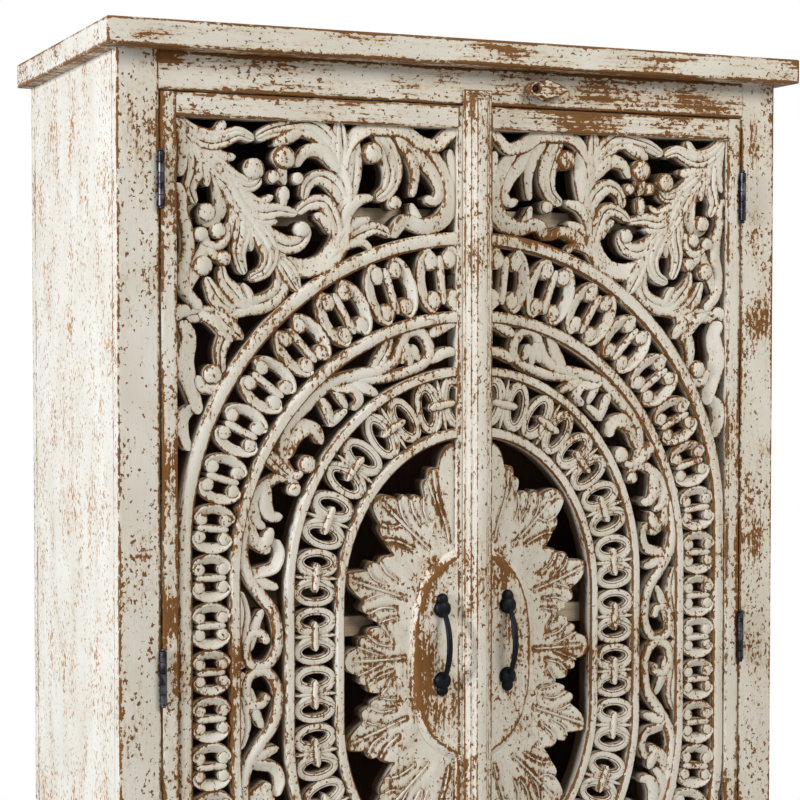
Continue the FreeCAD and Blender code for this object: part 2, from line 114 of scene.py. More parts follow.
# Worn places on the fronts, rubbed by hands and cloths: middle x and z, half width, half height
# and how far the paint is gone; z is measured from the middle of the doors. The broad row over
# the top rail (z 789) and the thin bands along its top (z 810 and 812) are partly painted
# shadow, browning the rail where the slab's shadow falls.
WORN_AND_SHADED_SPOTS = [
    (-64, -24, 32, 56, 1.3), (-50, -78, 24, 34, 0.8), (-66, 96, 14, 46, 0.5), (56, 108, 18, 44, 1.0),
    (66, 50, 16, 60, 0.7), (-52, 126, 24, 14, 0.9), (0, 789, 460, 32, 0.25), (74, 10, 14, 80, 0.6),
    (118, 580, 66, 14, 1.0), (192, 748, 48, 13, 0.9), (152, 690, 16, 22, 0.8), (40, 838, 42, 9, 1.1),
    (-182, 841, 46, 8, 0.9), (-456, 832, 34, 9, 0.8), (276, 836, 60, 5, 0.8), (518, 846, 22, 12, 1.0),
    (-432, 806, 22, 10, 1.1), (-32, 797, 34, 13, 0.9), (352, 782, 56, 18, 1.0), (206, 780, 40, 8, 0.7),
    (-200, 810, 240, 5, 0.6), (250, 812, 200, 5, 0.5), (-431, 266, 12, 40, 1.1), (-432, 84, 12, 30, 1.0),
    (-430, 640, 14, 60, 0.35), (-476, 690, 26, 60, 0.2), (472, 466, 24, 30, 0.9), (488, 282, 14, 24, 1.0),
    (474, 130, 12, 46, 0.9), (466, 728, 14, 40, 0.9), (-336, 14, 20, 22, 0.8), (-112, 155, 30, 14, 0.6),
    (-42, 200, 10, 30, 0.8), (150, -8, 60, 12, 0.5), (120, 160, 26, 16, 0.6), (-345, -80, 8, 120, 0.7),
    (14, 130, 8, 60, 0.5), (330, 640, 60, 60, 0.25), (-120, 480, 80, 60, 0.2),
]
# Only faces ahead of this y, in metres, are fronts that get the worn places and painted shadow bands
FRONT_FACE = -0.19


def worn_and_shaded_places():
    """A group that tells how worn a place is, from the worn places and painted shadow bands on the fronts.
    """
    tree = bpy.data.node_groups.new("worn_and_shaded_places", "ShaderNodeTree")
    tree.interface.new_socket(name="Place", in_out="INPUT", socket_type="NodeSocketVector")
    tree.interface.new_socket(name="Worn and shaded", in_out="OUTPUT", socket_type="NodeSocketFloat")
    place = add(tree, "NodeGroupInput").outputs[0]
    most = None
    for x, z, half_wide, half_high, amount in WORN_AND_SHADED_SPOTS:
        size = (1 / (half_wide * MM), 0.0, 1 / (half_high * MM))
        middle = (-x * MM * size[0], 0.0, -(MIDDLE + z) * MM * size[2])
        spot = add(tree, "ShaderNodeMapping", {"Vector": place, "Location": middle, "Scale": size})
        reach = add(tree, "ShaderNodeVectorMath", {0: spot.outputs[0]}, operation="LENGTH").outputs["Value"]
        worn = add(tree, "ShaderNodeMapRange", {"Value": reach, "From Min": 1.5, "From Max": 0.3,
                                                "To Max": amount}).outputs[0]
        most = worn if most is None else add(tree, "ShaderNodeMath", {0: most, 1: worn},
                                             operation="MAXIMUM").outputs[0]
    front = add(tree, "ShaderNodeSeparateXYZ", {0: place}).outputs["Y"]
    ahead = add(tree, "ShaderNodeMath", {0: front, 1: FRONT_FACE}, operation="LESS_THAN").outputs[0]
    last = add(tree, "ShaderNodeMath", {0: most, 1: ahead}, operation="MULTIPLY").outputs[0]
    add(tree, "NodeGroupOutput", {0: last})
    return tree


WORN_AND_SHADED_GROUP = worn_and_shaded_places()


# Patterns in the paint and the wood under it: size across and along the grain in mm, detail,
# roughness, and a shift that keeps them apart. Flecks and specks are drawn at 3 to 5 mm, where
# real ones go down to 1 mm, because finer ones don't show at this distance.
PAINT_PATTERNS = {
    "patches": (42, 110, 2.0, 0.55, 0.0), "flecks": (5.0, 9.0, 3.0, 0.62, 7.3),
    "specks": (4.6, 6.4, 2.5, 0.5, 31.0), "streaks": (3.2, 70, 3.0, 0.6, 11.0),
    "fibres": (1.6, 60, 4.0, 0.6, 17.0), "timber": (18, 60, 2.0, 0.5, 23.0),
    "clouds": (60, 90, 2.0, 0.5, 5.0),
}
# How sharply the paint ends at a bare place, and the level of wear at which it does
PAINT_BREAK = 0.012
WORN_THROUGH = 0.845


def painted_wood(name, grain, wear, arris_wear=0.17, streak=0.4, speck=0.03, tan_halo_and_warm_shade=0.5,
                 timber=("85551F", "573712", "6B4315")):
    """Chalk paint on brown hardwood, rubbed back by hand: flecks where the paint has lifted,
    ragged brown lines along the arrises, bare patches where hands go with a few bands of painted
    shadow under the slab, and a darkening of the deep cuts that is partly grime, partly painted shade."""
    material, tree = blank_material(name)
    place = add(tree, "ShaderNodeTexCoord").outputs["Object"]
    carved = add(tree, "ShaderNodeAttribute", attribute_name="arris").outputs["Fac"]
    found = {"worn_and_shaded": add(tree, "ShaderNodeGroup", {0: place}, node_tree=WORN_AND_SHADED_GROUP).outputs[0],
             "arris": add(tree, "ShaderNodeMapRange", {"Value": carved, "From Max": 2.0,
                                                       "To Max": 2.0}).outputs[0]}
    for pattern, (across, along, detail, rough, shift) in PAINT_PATTERNS.items():
        spot = add(tree, "ShaderNodeMapping", {"Vector": place, "Location": (shift, shift, shift),
                                               "Scale": grain_scale(grain, across, along)})
        noise = add(tree, "ShaderNodeTexNoise", {"Vector": spot.outputs[0], "Scale": 1.0,
                                                 "Detail": detail, "Roughness": rough})
        found[pattern] = noise.outputs["Fac"]

    # Where the paint is gone: each level is a sum of patterns with their shares
    edge = WORN_THROUGH - wear
    levels = {
        "chips": {"flecks": 1.0 - streak, "streaks": streak, "patches": 0.42, "arris": arris_wear},
        "wear": {"chips": 1.0, "worn_and_shaded": 0.2},
        "dots": {"specks": 1.0, "patches": 0.36, "arris": arris_wear * 0.35, "worn_and_shaded": 0.06},
    }
    for level, shares in levels.items():
        total = 0.0
        for pattern, share in shares.items():
            total = add(tree, "ShaderNodeMath", {0: found[pattern], 1: share, 2: total},
                        operation="MULTIPLY_ADD").outputs[0]
        found[level] = total
    for bare, level, start in (("chipped", "chips", edge), ("bare_from_wear_and_shade", "wear", edge),
                               ("dotted", "dots", edge - speck)):
        found[bare] = add(tree, "ShaderNodeMapRange", {"Value": found[level], "From Min": start,
                                                       "From Max": start + PAINT_BREAK}).outputs[0]
    bare = add(tree, "ShaderNodeMath", {0: found["bare_from_wear_and_shade"], 1: found["dotted"]},
               operation="MAXIMUM").outputs[0]

    # Colours: each layer lays its tone over the last where its pattern is strong
    # The tan layer over the paint, where wear comes near the wood, is a halo of thin paint round worn places
    # and along arrises and grooves, and partly painted warm shade in the grooves
    layers = {
        "wood": (timber[0], ("fibres", 0.3, 0.7, 1.0, timber[1]), ("timber", 0.35, 0.65, 0.6, timber[2])),
        "paint": ("DED8CA", ("clouds", 0.3, 0.7, 1.0, "D2CAB8"), ("fibres", 0.4, 0.8, 0.22, "B9AC95"),
                  ("wear", edge - 0.12, edge, tan_halo_and_warm_shade, "B8935F")),
    }
    for coat, (first, *tones) in layers.items():
        colour = linear(first)
        for pattern, low, high, most, tone in tones:
            share = add(tree, "ShaderNodeMapRange", {"Value": found[pattern], "From Min": low,
                                                     "From Max": high, "To Max": most}).outputs[0]
            colour = add(tree, "ShaderNodeMix", {"Factor": share, 6: colour, 7: linear(tone)},
                         data_type="RGBA").outputs[2]
        found[coat] = colour
    worn = add(tree, "ShaderNodeMix", {"Factor": bare, 6: found["paint"], 7: found["wood"]},
               data_type="RGBA").outputs[2]
    # Walls and backs of the deep cuts (arris below zero) turn towards dark wood: painted shade where little
    # light reaches, partly grime as well
    dark = add(tree, "ShaderNodeMix", {"Factor": 0.55, 6: found["wood"], 7: linear("2E1D10")},
               data_type="RGBA").outputs[2]
    deep_cut_shade_and_grime = add(tree, "ShaderNodeMapRange", {"Value": carved, "From Min": -0.06, "From Max": -0.5,
                                             "To Max": 0.93}).outputs[0]
    surface = add(tree, "ShaderNodeMix", {"Factor": deep_cut_shade_and_grime, 6: worn, 7: dark},
                  data_type="RGBA").outputs[2]
    height = 0.0
    for pattern, share in (("flecks", 0.3), ("fibres", 0.25), ("chipped", -1.0)):
        height = add(tree, "ShaderNodeMath", {0: found[pattern], 1: share, 2: height},
                     operation="MULTIPLY_ADD").outputs[0]
    bump = add(tree, "ShaderNodeBump", {"Height": height, "Distance": 0.0004, "Strength": 0.6})
    rough = add(tree, "ShaderNodeMapRange", {"Value": bare, "To Min": 0.8, "To Max": 0.65}).outputs[0]
    finish_surface(tree, {"Base Color": surface, "Roughness": rough, "Specular IOR Level": 0.3,
                          "Normal": bump.outputs[0]})
    return material


def bare_wood(name, grain, light="7A5233", dark="4A2E1B", pore="2E1C10"):
    """Waxed hardwood inside the case: fine dark pores in long streaks of two tones."""
    material, tree = blank_material(name)
    place = add(tree, "ShaderNodeTexCoord").outputs["Object"]
    wide = add(tree, "ShaderNodeMapping", {"Vector": place, "Scale": grain_scale(grain, 14, 260)})
    fine = add(tree, "ShaderNodeMapping", {"Vector": place, "Scale": grain_scale(grain, 1.4, 40)})
    rings = add(tree, "ShaderNodeTexNoise", {"Vector": wide.outputs[0], "Scale": 1.0, "Detail": 4.0,
                                             "Distortion": 0.4}).outputs["Fac"]
    pores = add(tree, "ShaderNodeTexNoise", {"Vector": fine.outputs[0], "Scale": 1.0,
                                             "Detail": 3.0}).outputs["Fac"]
    tone = add(tree, "ShaderNodeMix", {"Factor": rings, 6: linear(light), 7: linear(dark)},
               data_type="RGBA").outputs[2]
    shade = add(tree, "ShaderNodeMapRange", {"Value": pores, "From Min": 0.35, "From Max": 0.7,
                                             "To Min": 0.0, "To Max": 0.5}).outputs[0]
    colour = add(tree, "ShaderNodeMix", {"Factor": shade, 6: tone, 7: linear(pore)},
                 data_type="RGBA").outputs[2]
    bump = add(tree, "ShaderNodeBump", {"Height": pores, "Distance": 0.0002, "Strength": 0.4})
    finish_surface(tree, {"Base Color": colour, "Roughness": 0.6, "Normal": bump.outputs[0]})
    return material


def forged_iron(name):
    """Black waxed iron from the forge: soft grey sheen, small hammer dents, worn crests."""
    material, tree = blank_material(name)
    place = add(tree, "ShaderNodeTexCoord").outputs["Object"]
    spot = add(tree, "ShaderNodeMapping", {"Vector": place, "Scale": grain_scale("Z", 4.545, 4.545)})
    dents = add(tree, "ShaderNodeTexNoise", {"Vector": spot.outputs[0], "Scale": 1.0,
                                             "Detail": 3.0}).outputs["Fac"]
    tone = add(tree, "ShaderNodeMix", {"Factor": dents, 6: linear("131315"), 7: linear("242529")},
               data_type="RGBA").outputs[2]
    rough = add(tree, "ShaderNodeMapRange", {"Value": dents, "To Min": 0.36, "To Max": 0.58}).outputs[0]
    bump = add(tree, "ShaderNodeBump", {"Height": dents, "Distance": 0.0006, "Strength": 0.5})
    finish_surface(tree, {"Base Color": tone, "Metallic": 1.0, "Roughness": rough,
                          "Normal": bump.outputs[0]})
    return material


def blued_steel(name):
    """Rolled steel hinges, blued, with brighter rubbed marks scattered over them."""
    material, tree = blank_material(name)
    place = add(tree, "ShaderNodeTexCoord").outputs["Object"]
    spot = add(tree, "ShaderNodeMapping", {"Vector": place, "Scale": grain_scale("Z", 11.11, 16.67)})
    marks = add(tree, "ShaderNodeTexNoise", {"Vector": spot.outputs[0], "Scale": 1.0,
                                             "Detail": 4.0}).outputs["Fac"]
    tone = add(tree, "ShaderNodeValToRGB", {0: marks})
    tone.color_ramp.elements[0].position = 0.42
    tone.color_ramp.elements[0].color = linear("212126")
    tone.color_ramp.elements[1].position = 0.68
    tone.color_ramp.elements[1].color = linear("5C5A62")
    rough = add(tree, "ShaderNodeMapRange", {"Value": marks, "To Min": 0.2, "To Max": 0.5}).outputs[0]
    bump = add(tree, "ShaderNodeBump", {"Height": marks, "Distance": 0.0002, "Strength": 0.4})
    finish_surface(tree, {"Base Color": tone.outputs[0], "Metallic": 1.0, "Roughness": rough,
                          "Normal": bump.outputs[0]})
    return material


PAINT_UPRIGHT = painted_wood("rubbed_chalk_paint_upright_grain", "Z", -0.005, speck=0.045)
PAINT_LEVEL = painted_wood("rubbed_chalk_paint_level_grain", "X", 0.012, streak=0.55)
# The side boards' bare wood is drawn lighter than on the fronts: painted light, for the strong side lamp on
# them
PAINT_SIDE_PAINTED_LIGHT = painted_wood("rubbed_chalk_paint_side_boards_painted_light", "Z", -0.01, speck=0.06, tan_halo_and_warm_shade=0.22,
                          timber=("B5824E", "966430", "A5723C"))
PAINT_CARVING = painted_wood("rubbed_chalk_paint_carving", "Z", -0.01, 0.25)
WOOD_LEVEL = bare_wood("waxed_hardwood_level_grain", "X")
WOOD_UPRIGHT = bare_wood("waxed_hardwood_upright_grain", "Z")
WOOD_LIMED = bare_wood("limed_shelf_wood", "X", "CDBFA4", "AC987A", "8A7353")
WOOD_DEEP = bare_wood("waxed_hardwood_deep_grain", "Y")
IRON = forged_iron("black_forged_iron")
STEEL = blued_steel("blued_rolled_steel")


# Solid shapes

def piece(name, parts, material, body, replaced=()):
    """Makes one object of (points in mm, faces, arris shares) parts and sets it on its body."""
    points, faces, arris = [], [], []
    for part_points, part_faces, part_arris in parts:
        start = len(points)
        points.extend(part_points)
        faces.extend([tuple(corner + start for corner in face) for face in part_faces])
        arris.extend(part_arris)
    mesh = bpy.data.meshes.new(name)
    mesh.from_pydata([(x * MM, y * MM, z * MM) for x, y, z in points], [], faces)
    layer = mesh.attributes.new("arris", "FLOAT", "POINT")
    layer.data.foreach_set("value", np.array(arris, np.float32))
    mesh.materials.append(material)
    mesh.update()
    made = bpy.data.objects.new(name, mesh)
    bpy.context.scene.collection.objects.link(made)
    if body:
        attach(made, body)
        if replaced:
            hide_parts(*replaced)
    return made


def smooth_shade(made, angle=35):
    """Shades softly, except where faces meet at more than the angle in degrees."""
    made.data.shade_smooth()
    made.data.set_sharp_from_angle(angle=math.radians(angle))
    return made


def outward(part):
    """The same closed part with its faces pointing outwards."""
    points, faces, arris = part
    spots = np.array(points, float)
    spots -= spots.mean(0)
    volume = 0.0
    for face in faces:
        for one, other in zip(face[1:], face[2:]):
            volume += float(np.dot(spots[face[0]], np.cross(spots[one], spots[other])))
    return part if volume > 0 else (points, [face[::-1] for face in faces], arris)


def skin(points, size, arris=None, tip=None):
    """A closed part over rows of points, size to a row. Its ends are flat, or the last one runs
    up to a tip of (point, arris)."""
    points = list(points)
    arris = [0.0] * len(points) if arris is None else list(arris)
    last = len(points) - size
    faces = []
    for start in range(0, last, size):
        for number in range(size):
            after = (number + 1) % size
            faces.append((start + number, start + after, start + size + after, start + size + number))
    faces.append(tuple(range(size))[::-1])
    if tip:
        faces += [(last + number, last + (number + 1) % size, len(points)) for number in range(size)]
        points.append(tip[0])
        arris.append(tip[1])
    else:
        faces.append(tuple(range(last, last + size)))
    return outward((points, faces, arris))


def circle(sides):
    """Cosine and sine of even turns round a circle."""
    turns = [2 * math.pi * number / sides for number in range(sides)]
    return [(math.cos(turn), math.sin(turn)) for turn in turns]


def board(low, high, edge=1.4, reach=7.0, length=None, worn_share=1.0, below=0.0):
    """A plank with eased arrises; the arris share fades over its reach. The ends of the
    length axis, where given, are joints and stay square and painted."""
    axes = []
    for axis, (a, b) in enumerate(zip(low, high)):
        far = min(reach, (b - a) * 0.45)
        near = min(0.05 if axis == length else edge, far * 0.5)
        axes.append([a, a + near, a + far, b - far, b - near, b])
    ends = (0, 5)
    index, points, arris = {}, [], []
    for i in range(6):
        for j in range(6):
            for k in range(6):
                spot = (i, j, k)
                outer = [n in ends for n in spot]
                if not any(outer):
                    continue
                p = np.array([axes[axis][n] for axis, n in enumerate(spot)])
                core = np.array([min(max(value, axes[axis][1]), axes[axis][4])
                                 for axis, value in enumerate(p)])
                way = p - core
                if sum(outer) > 1:
                    ease = min(axes[axis][1] - axes[axis][0] for axis in range(3) if outer[axis])
                    p = core + way / np.linalg.norm(way) * ease
                index[spot] = len(points)
                points.append(tuple(p))
                worn = [n in (0, 1, 4, 5) for axis, n in enumerate(spot) if axis != length]
                arris.append(max(worn_share if sum(worn) > 1 else 0.0, below if k == 0 else 0.0))
    faces = []
    for axis in range(3):
        others = [n for n in range(3) if n != axis]
        for end in ends:
            for a in range(5):
                for b in range(5):
                    corners = []
                    for da, db in ((0, 0), (1, 0), (1, 1), (0, 1)):
                        spot = [0, 0, 0]
                        spot[axis], spot[others[0]], spot[others[1]] = end, a + da, b + db
                        corners.append(index[tuple(spot)])
                    faces.append(tuple(corners if (end == 5) != (axis == 1) else corners[::-1]))
    return points, faces, arris


def box_mm(node):
    """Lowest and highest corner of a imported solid, in mm."""
    low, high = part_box(node)
    return [value / MM for value in low], [value / MM for value in high]


def smooth_line(rows, step):
    """Rows along a smooth line through the given rows of (x, z, width, ...)."""
    rows = np.array(rows, float)
    gaps = np.maximum(np.hypot(*(rows[1:, :2] - rows[:-1, :2]).T), 1e-6)
    marks = np.concatenate([[0], np.cumsum(gaps)])
    slopes = np.gradient(rows, marks, axis=0) if len(rows) > 2 else np.repeat(
        (rows[1:] - rows[:1]) / gaps[0], 2, axis=0)
    count = max(int(marks[-1] / step), 6)
    at = np.linspace(0, marks[-1], count + 1)
    leg = np.clip(np.searchsorted(marks, at, side="right") - 1, 0, len(gaps) - 1)
    h = gaps[leg][:, None]
    t = ((at - marks[leg]) / gaps[leg])[:, None]
    return ((2 * t ** 3 - 3 * t ** 2 + 1) * rows[leg] + (t ** 3 - 2 * t ** 2 + t) * h * slopes[leg]
            + (3 * t ** 2 - 2 * t ** 3) * rows[leg + 1] + (t ** 3 - t ** 2) * h * slopes[leg + 1])


# Grooves inside a leaf are what lies lower than this, in mm, within this share of its half width;
# they reach their full depth after 1 / 2.4 of its run
GROOVE_RISE = -1.5
GROOVE_REACH = 0.5
GROOVE_GROWTH = 2.4

# How far the walls under a stroke's edge run straight down before they turn in to its back
WALL_LIP = 2.2

# Sections across a stroke: share of the half width, rise in mm, share of bare arris
SECTIONS = {
    "leaf": [(-1, -2.4, 1), (-0.86, -0.2, 0.6), (-0.55, 0.6, 0), (-0.26, -0.3, 0), (-0.12, -1.9, 0.95),
             (0.04, -0.4, 0.1), (0.4, 0.3, 0), (0.82, -0.6, 0.5), (1, -2.9, 1)],
    "broad": [(-1, -2.8, 1), (-0.88, -0.3, 0.6), (-0.66, 0.7, 0), (-0.44, -0.2, 0), (-0.34, -2.0, 0.95),
              (-0.22, -0.2, 0.1), (0.05, 0.8, 0), (0.28, 0.1, 0), (0.38, -1.0, 0.3), (0.5, -0.2, 0),
              (0.75, -0.3, 0), (0.88, -1.0, 0.6), (1, -3.0, 1)],
    "stem": [(-1, -2.6, 1), (-0.76, -0.3, 0.5), (-0.4, 0.9, 0), (0, 1.3, 0), (0.4, 0.9, 0),
             (0.76, -0.3, 0.5), (1, -2.6, 1)],
    "curl": [(-1, -1.8, 1), (-0.8, 0.7, 0.6), (-0.5, 0.9, 0), (-0.15, -0.8, 0), (0.35, -2.6, 0),
             (0.8, -4.4, 0.1), (1, -6.0, 0.8)],
    # The rib's brown arris is heavier on its inner edge than its outer one: worn paint, and partly painted
    # shade on the lower and right edges that lie in shade on the left door
    "rib": [(-1, -3.4, 0.6), (-0.74, -0.5, 0.5), (-0.6, 0.2, 0.1), (0, 0.5, 0), (0.6, 0.2, 0.1),
            (0.74, -0.5, 1.0), (1, -3.4, 1.05)],
    "ring": [(-1, -2.6, 1.2), (-0.8, -0.2, 0.2), (-0.2, 0.9, 0), (0.3, 0.3, 0), (0.42, -1.6, 1.5),
             (0.56, -0.3, 0.1), (0.8, -0.8, 0.2), (1, -3.0, 1.2)],
    "blade": [(-1, -2.6, 1.2), (-0.84, -0.4, 0.5), (-0.45, 0.7, 0), (-0.1, 0.9, 0), (0.3, 0.2, 0),
              (0.78, -0.9, 0.3), (1, -3.1, 1.2)],
    # The vein's rows at its foot carry heavy bare shares, brown lines along its grooves: worn paint and
    # partly painted shade in the grooves
    "vein": [(-1, -2.7, 1.5), (-0.66, -2.5, 1.7), (-0.5, -0.1, 0.2), (0, 0.7, 0), (0.5, -0.1, 0.2),
             (0.66, -2.5, 1.7), (1, -2.7, 1.5)],
}


def stroke_back(x, z):
    """Depth of a stroke's back: a shade different from place to place, so that the backs of
    strokes that cross never lie in one plane."""
    return DOOR_BACK - 0.1 - 0.7 * ((abs(x) * 0.37 + abs(z) * 0.61) % 1)


def groove_row(row, cut):
    """A groove inside a leaf starts shallow and painted at the leaf's root."""
    t, rise, bare = row
    groove = abs(t) < GROOVE_REACH and rise < GROOVE_RISE
    return (t, rise * cut, bare * cut) if groove else row


def ribbon(rows, kind, depth, flip=False, round_ends=(True, True), step=3.0, back=None, dip=0.0):
    """A closed carved stroke. Rows are (x, z, width) in mm; its front lies depth behind the
    door's front and dips towards its ends."""
    line = smooth_line(rows, step)
    spots = line[:, :2]
    ways = np.gradient(spots, axis=0)
    ways /= np.maximum(np.hypot(*ways.T), 1e-9)[:, None]
    sides = np.stack([-ways[:, 1], ways[:, 0]], axis=1)
    run = np.concatenate([[0], np.cumsum(np.hypot(*(spots[1:] - spots[:-1]).T))])
    half = np.maximum(line[:, 2] / 2, 0.4)
    shape = np.ones(len(line))
    for rounded, gone in ((round_ends[0], run), (round_ends[1], run[-1] - run)):
        if rounded:
            reach = np.minimum(1.0, gone / (half * 0.9) + 0.04)
            shape *= np.sqrt(np.maximum(1 - (1 - reach) ** 2, 0.0))
    half = half * np.maximum(shape, 0.12)
    share = run / max(run[-1], 1e-6)
    sink = dip * (1 - np.sin(math.pi * np.clip(share, 0, 1)))
    section = SECTIONS[kind]
    if flip:
        section = [(-t, rise, bare) for t, rise, bare in section[::-1]]
    back = stroke_back(*rows[0][:2]) if back is None else back
    cuts = np.clip(share * GROOVE_GROWTH, 0.0, 1.0) if kind in ("leaf", "broad") else np.ones(len(line))
    points, arris = [], []
    for (x, z), (nx, nz), wide, low, cap, cut in zip(spots, sides, half, sink, shape, cuts):
        ring = [(t, DOOR_FRONT + depth + low - rise * max(cap, 0.3), bare)
                for t, rise, bare in (groove_row(row, cut) for row in section)]
        # The back's edge rows (arris -1) darken the walls towards the back: painted shade in the deep cuts,
        # partly grime
        walls = [(t, min(end[1] + WALL_LIP, back - 0.2), 0.0) for t, end in ((-1, ring[0]), (1, ring[-1]))]
        ring = [(-0.8, back, 0), (-1, back, -1), walls[0]] + ring + [walls[1], (1, back, -1), (0.8, back, 0)]
        for t, y, bare in ring:
            points.append((x + nx * wide * t, y, z + nz * wide * t))
            arris.append(bare)
    return skin(points, len(section) + 6, arris)


BERRY_SIDES = 14


def dome(x, z, radius, depth, rise):
    """A round berry: a domed pillar that runs through to the back."""
    back = stroke_back(x, z)
    face = DOOR_FRONT + depth
    # The wall's foot at the back (arris -1) darkens it downwards: painted shade in the deep cut, partly
    # grime
    rings = [(0.85, back, 0.0), (1.0, back, -1.0), (1.0, face + WALL_LIP, 0.0), (1.0, face, 0.95)]
    for angle, bare in ((25, 0.6), (50, 0.0), (72, 0.0)):
        angle = math.radians(angle)
        rings.append((math.cos(angle), face - rise * math.sin(angle), bare))
    points = [(x + radius * share * c, y, z + radius * share * s)
              for share, y, bare in rings for c, s in circle(BERRY_SIDES)]
    arris = np.repeat([bare for share, y, bare in rings], BERRY_SIDES)
    return skin(points, BERRY_SIDES, arris, ((x, face - rise, z), 0.1))


# The carver's drawing

# Ribs: outer half width, rise, springing, width at the side and at the crown
RIBS = [
    (42.1, 41.9, 17.1, 2.0, 2.0), (34.9, 36.0, 12.1, 1.5, 1.8), (27.1, 30.3, 10.0, 1.4, 1.4),
    (19.8, 24.0, 7.8, 1.3, 1.5),
]

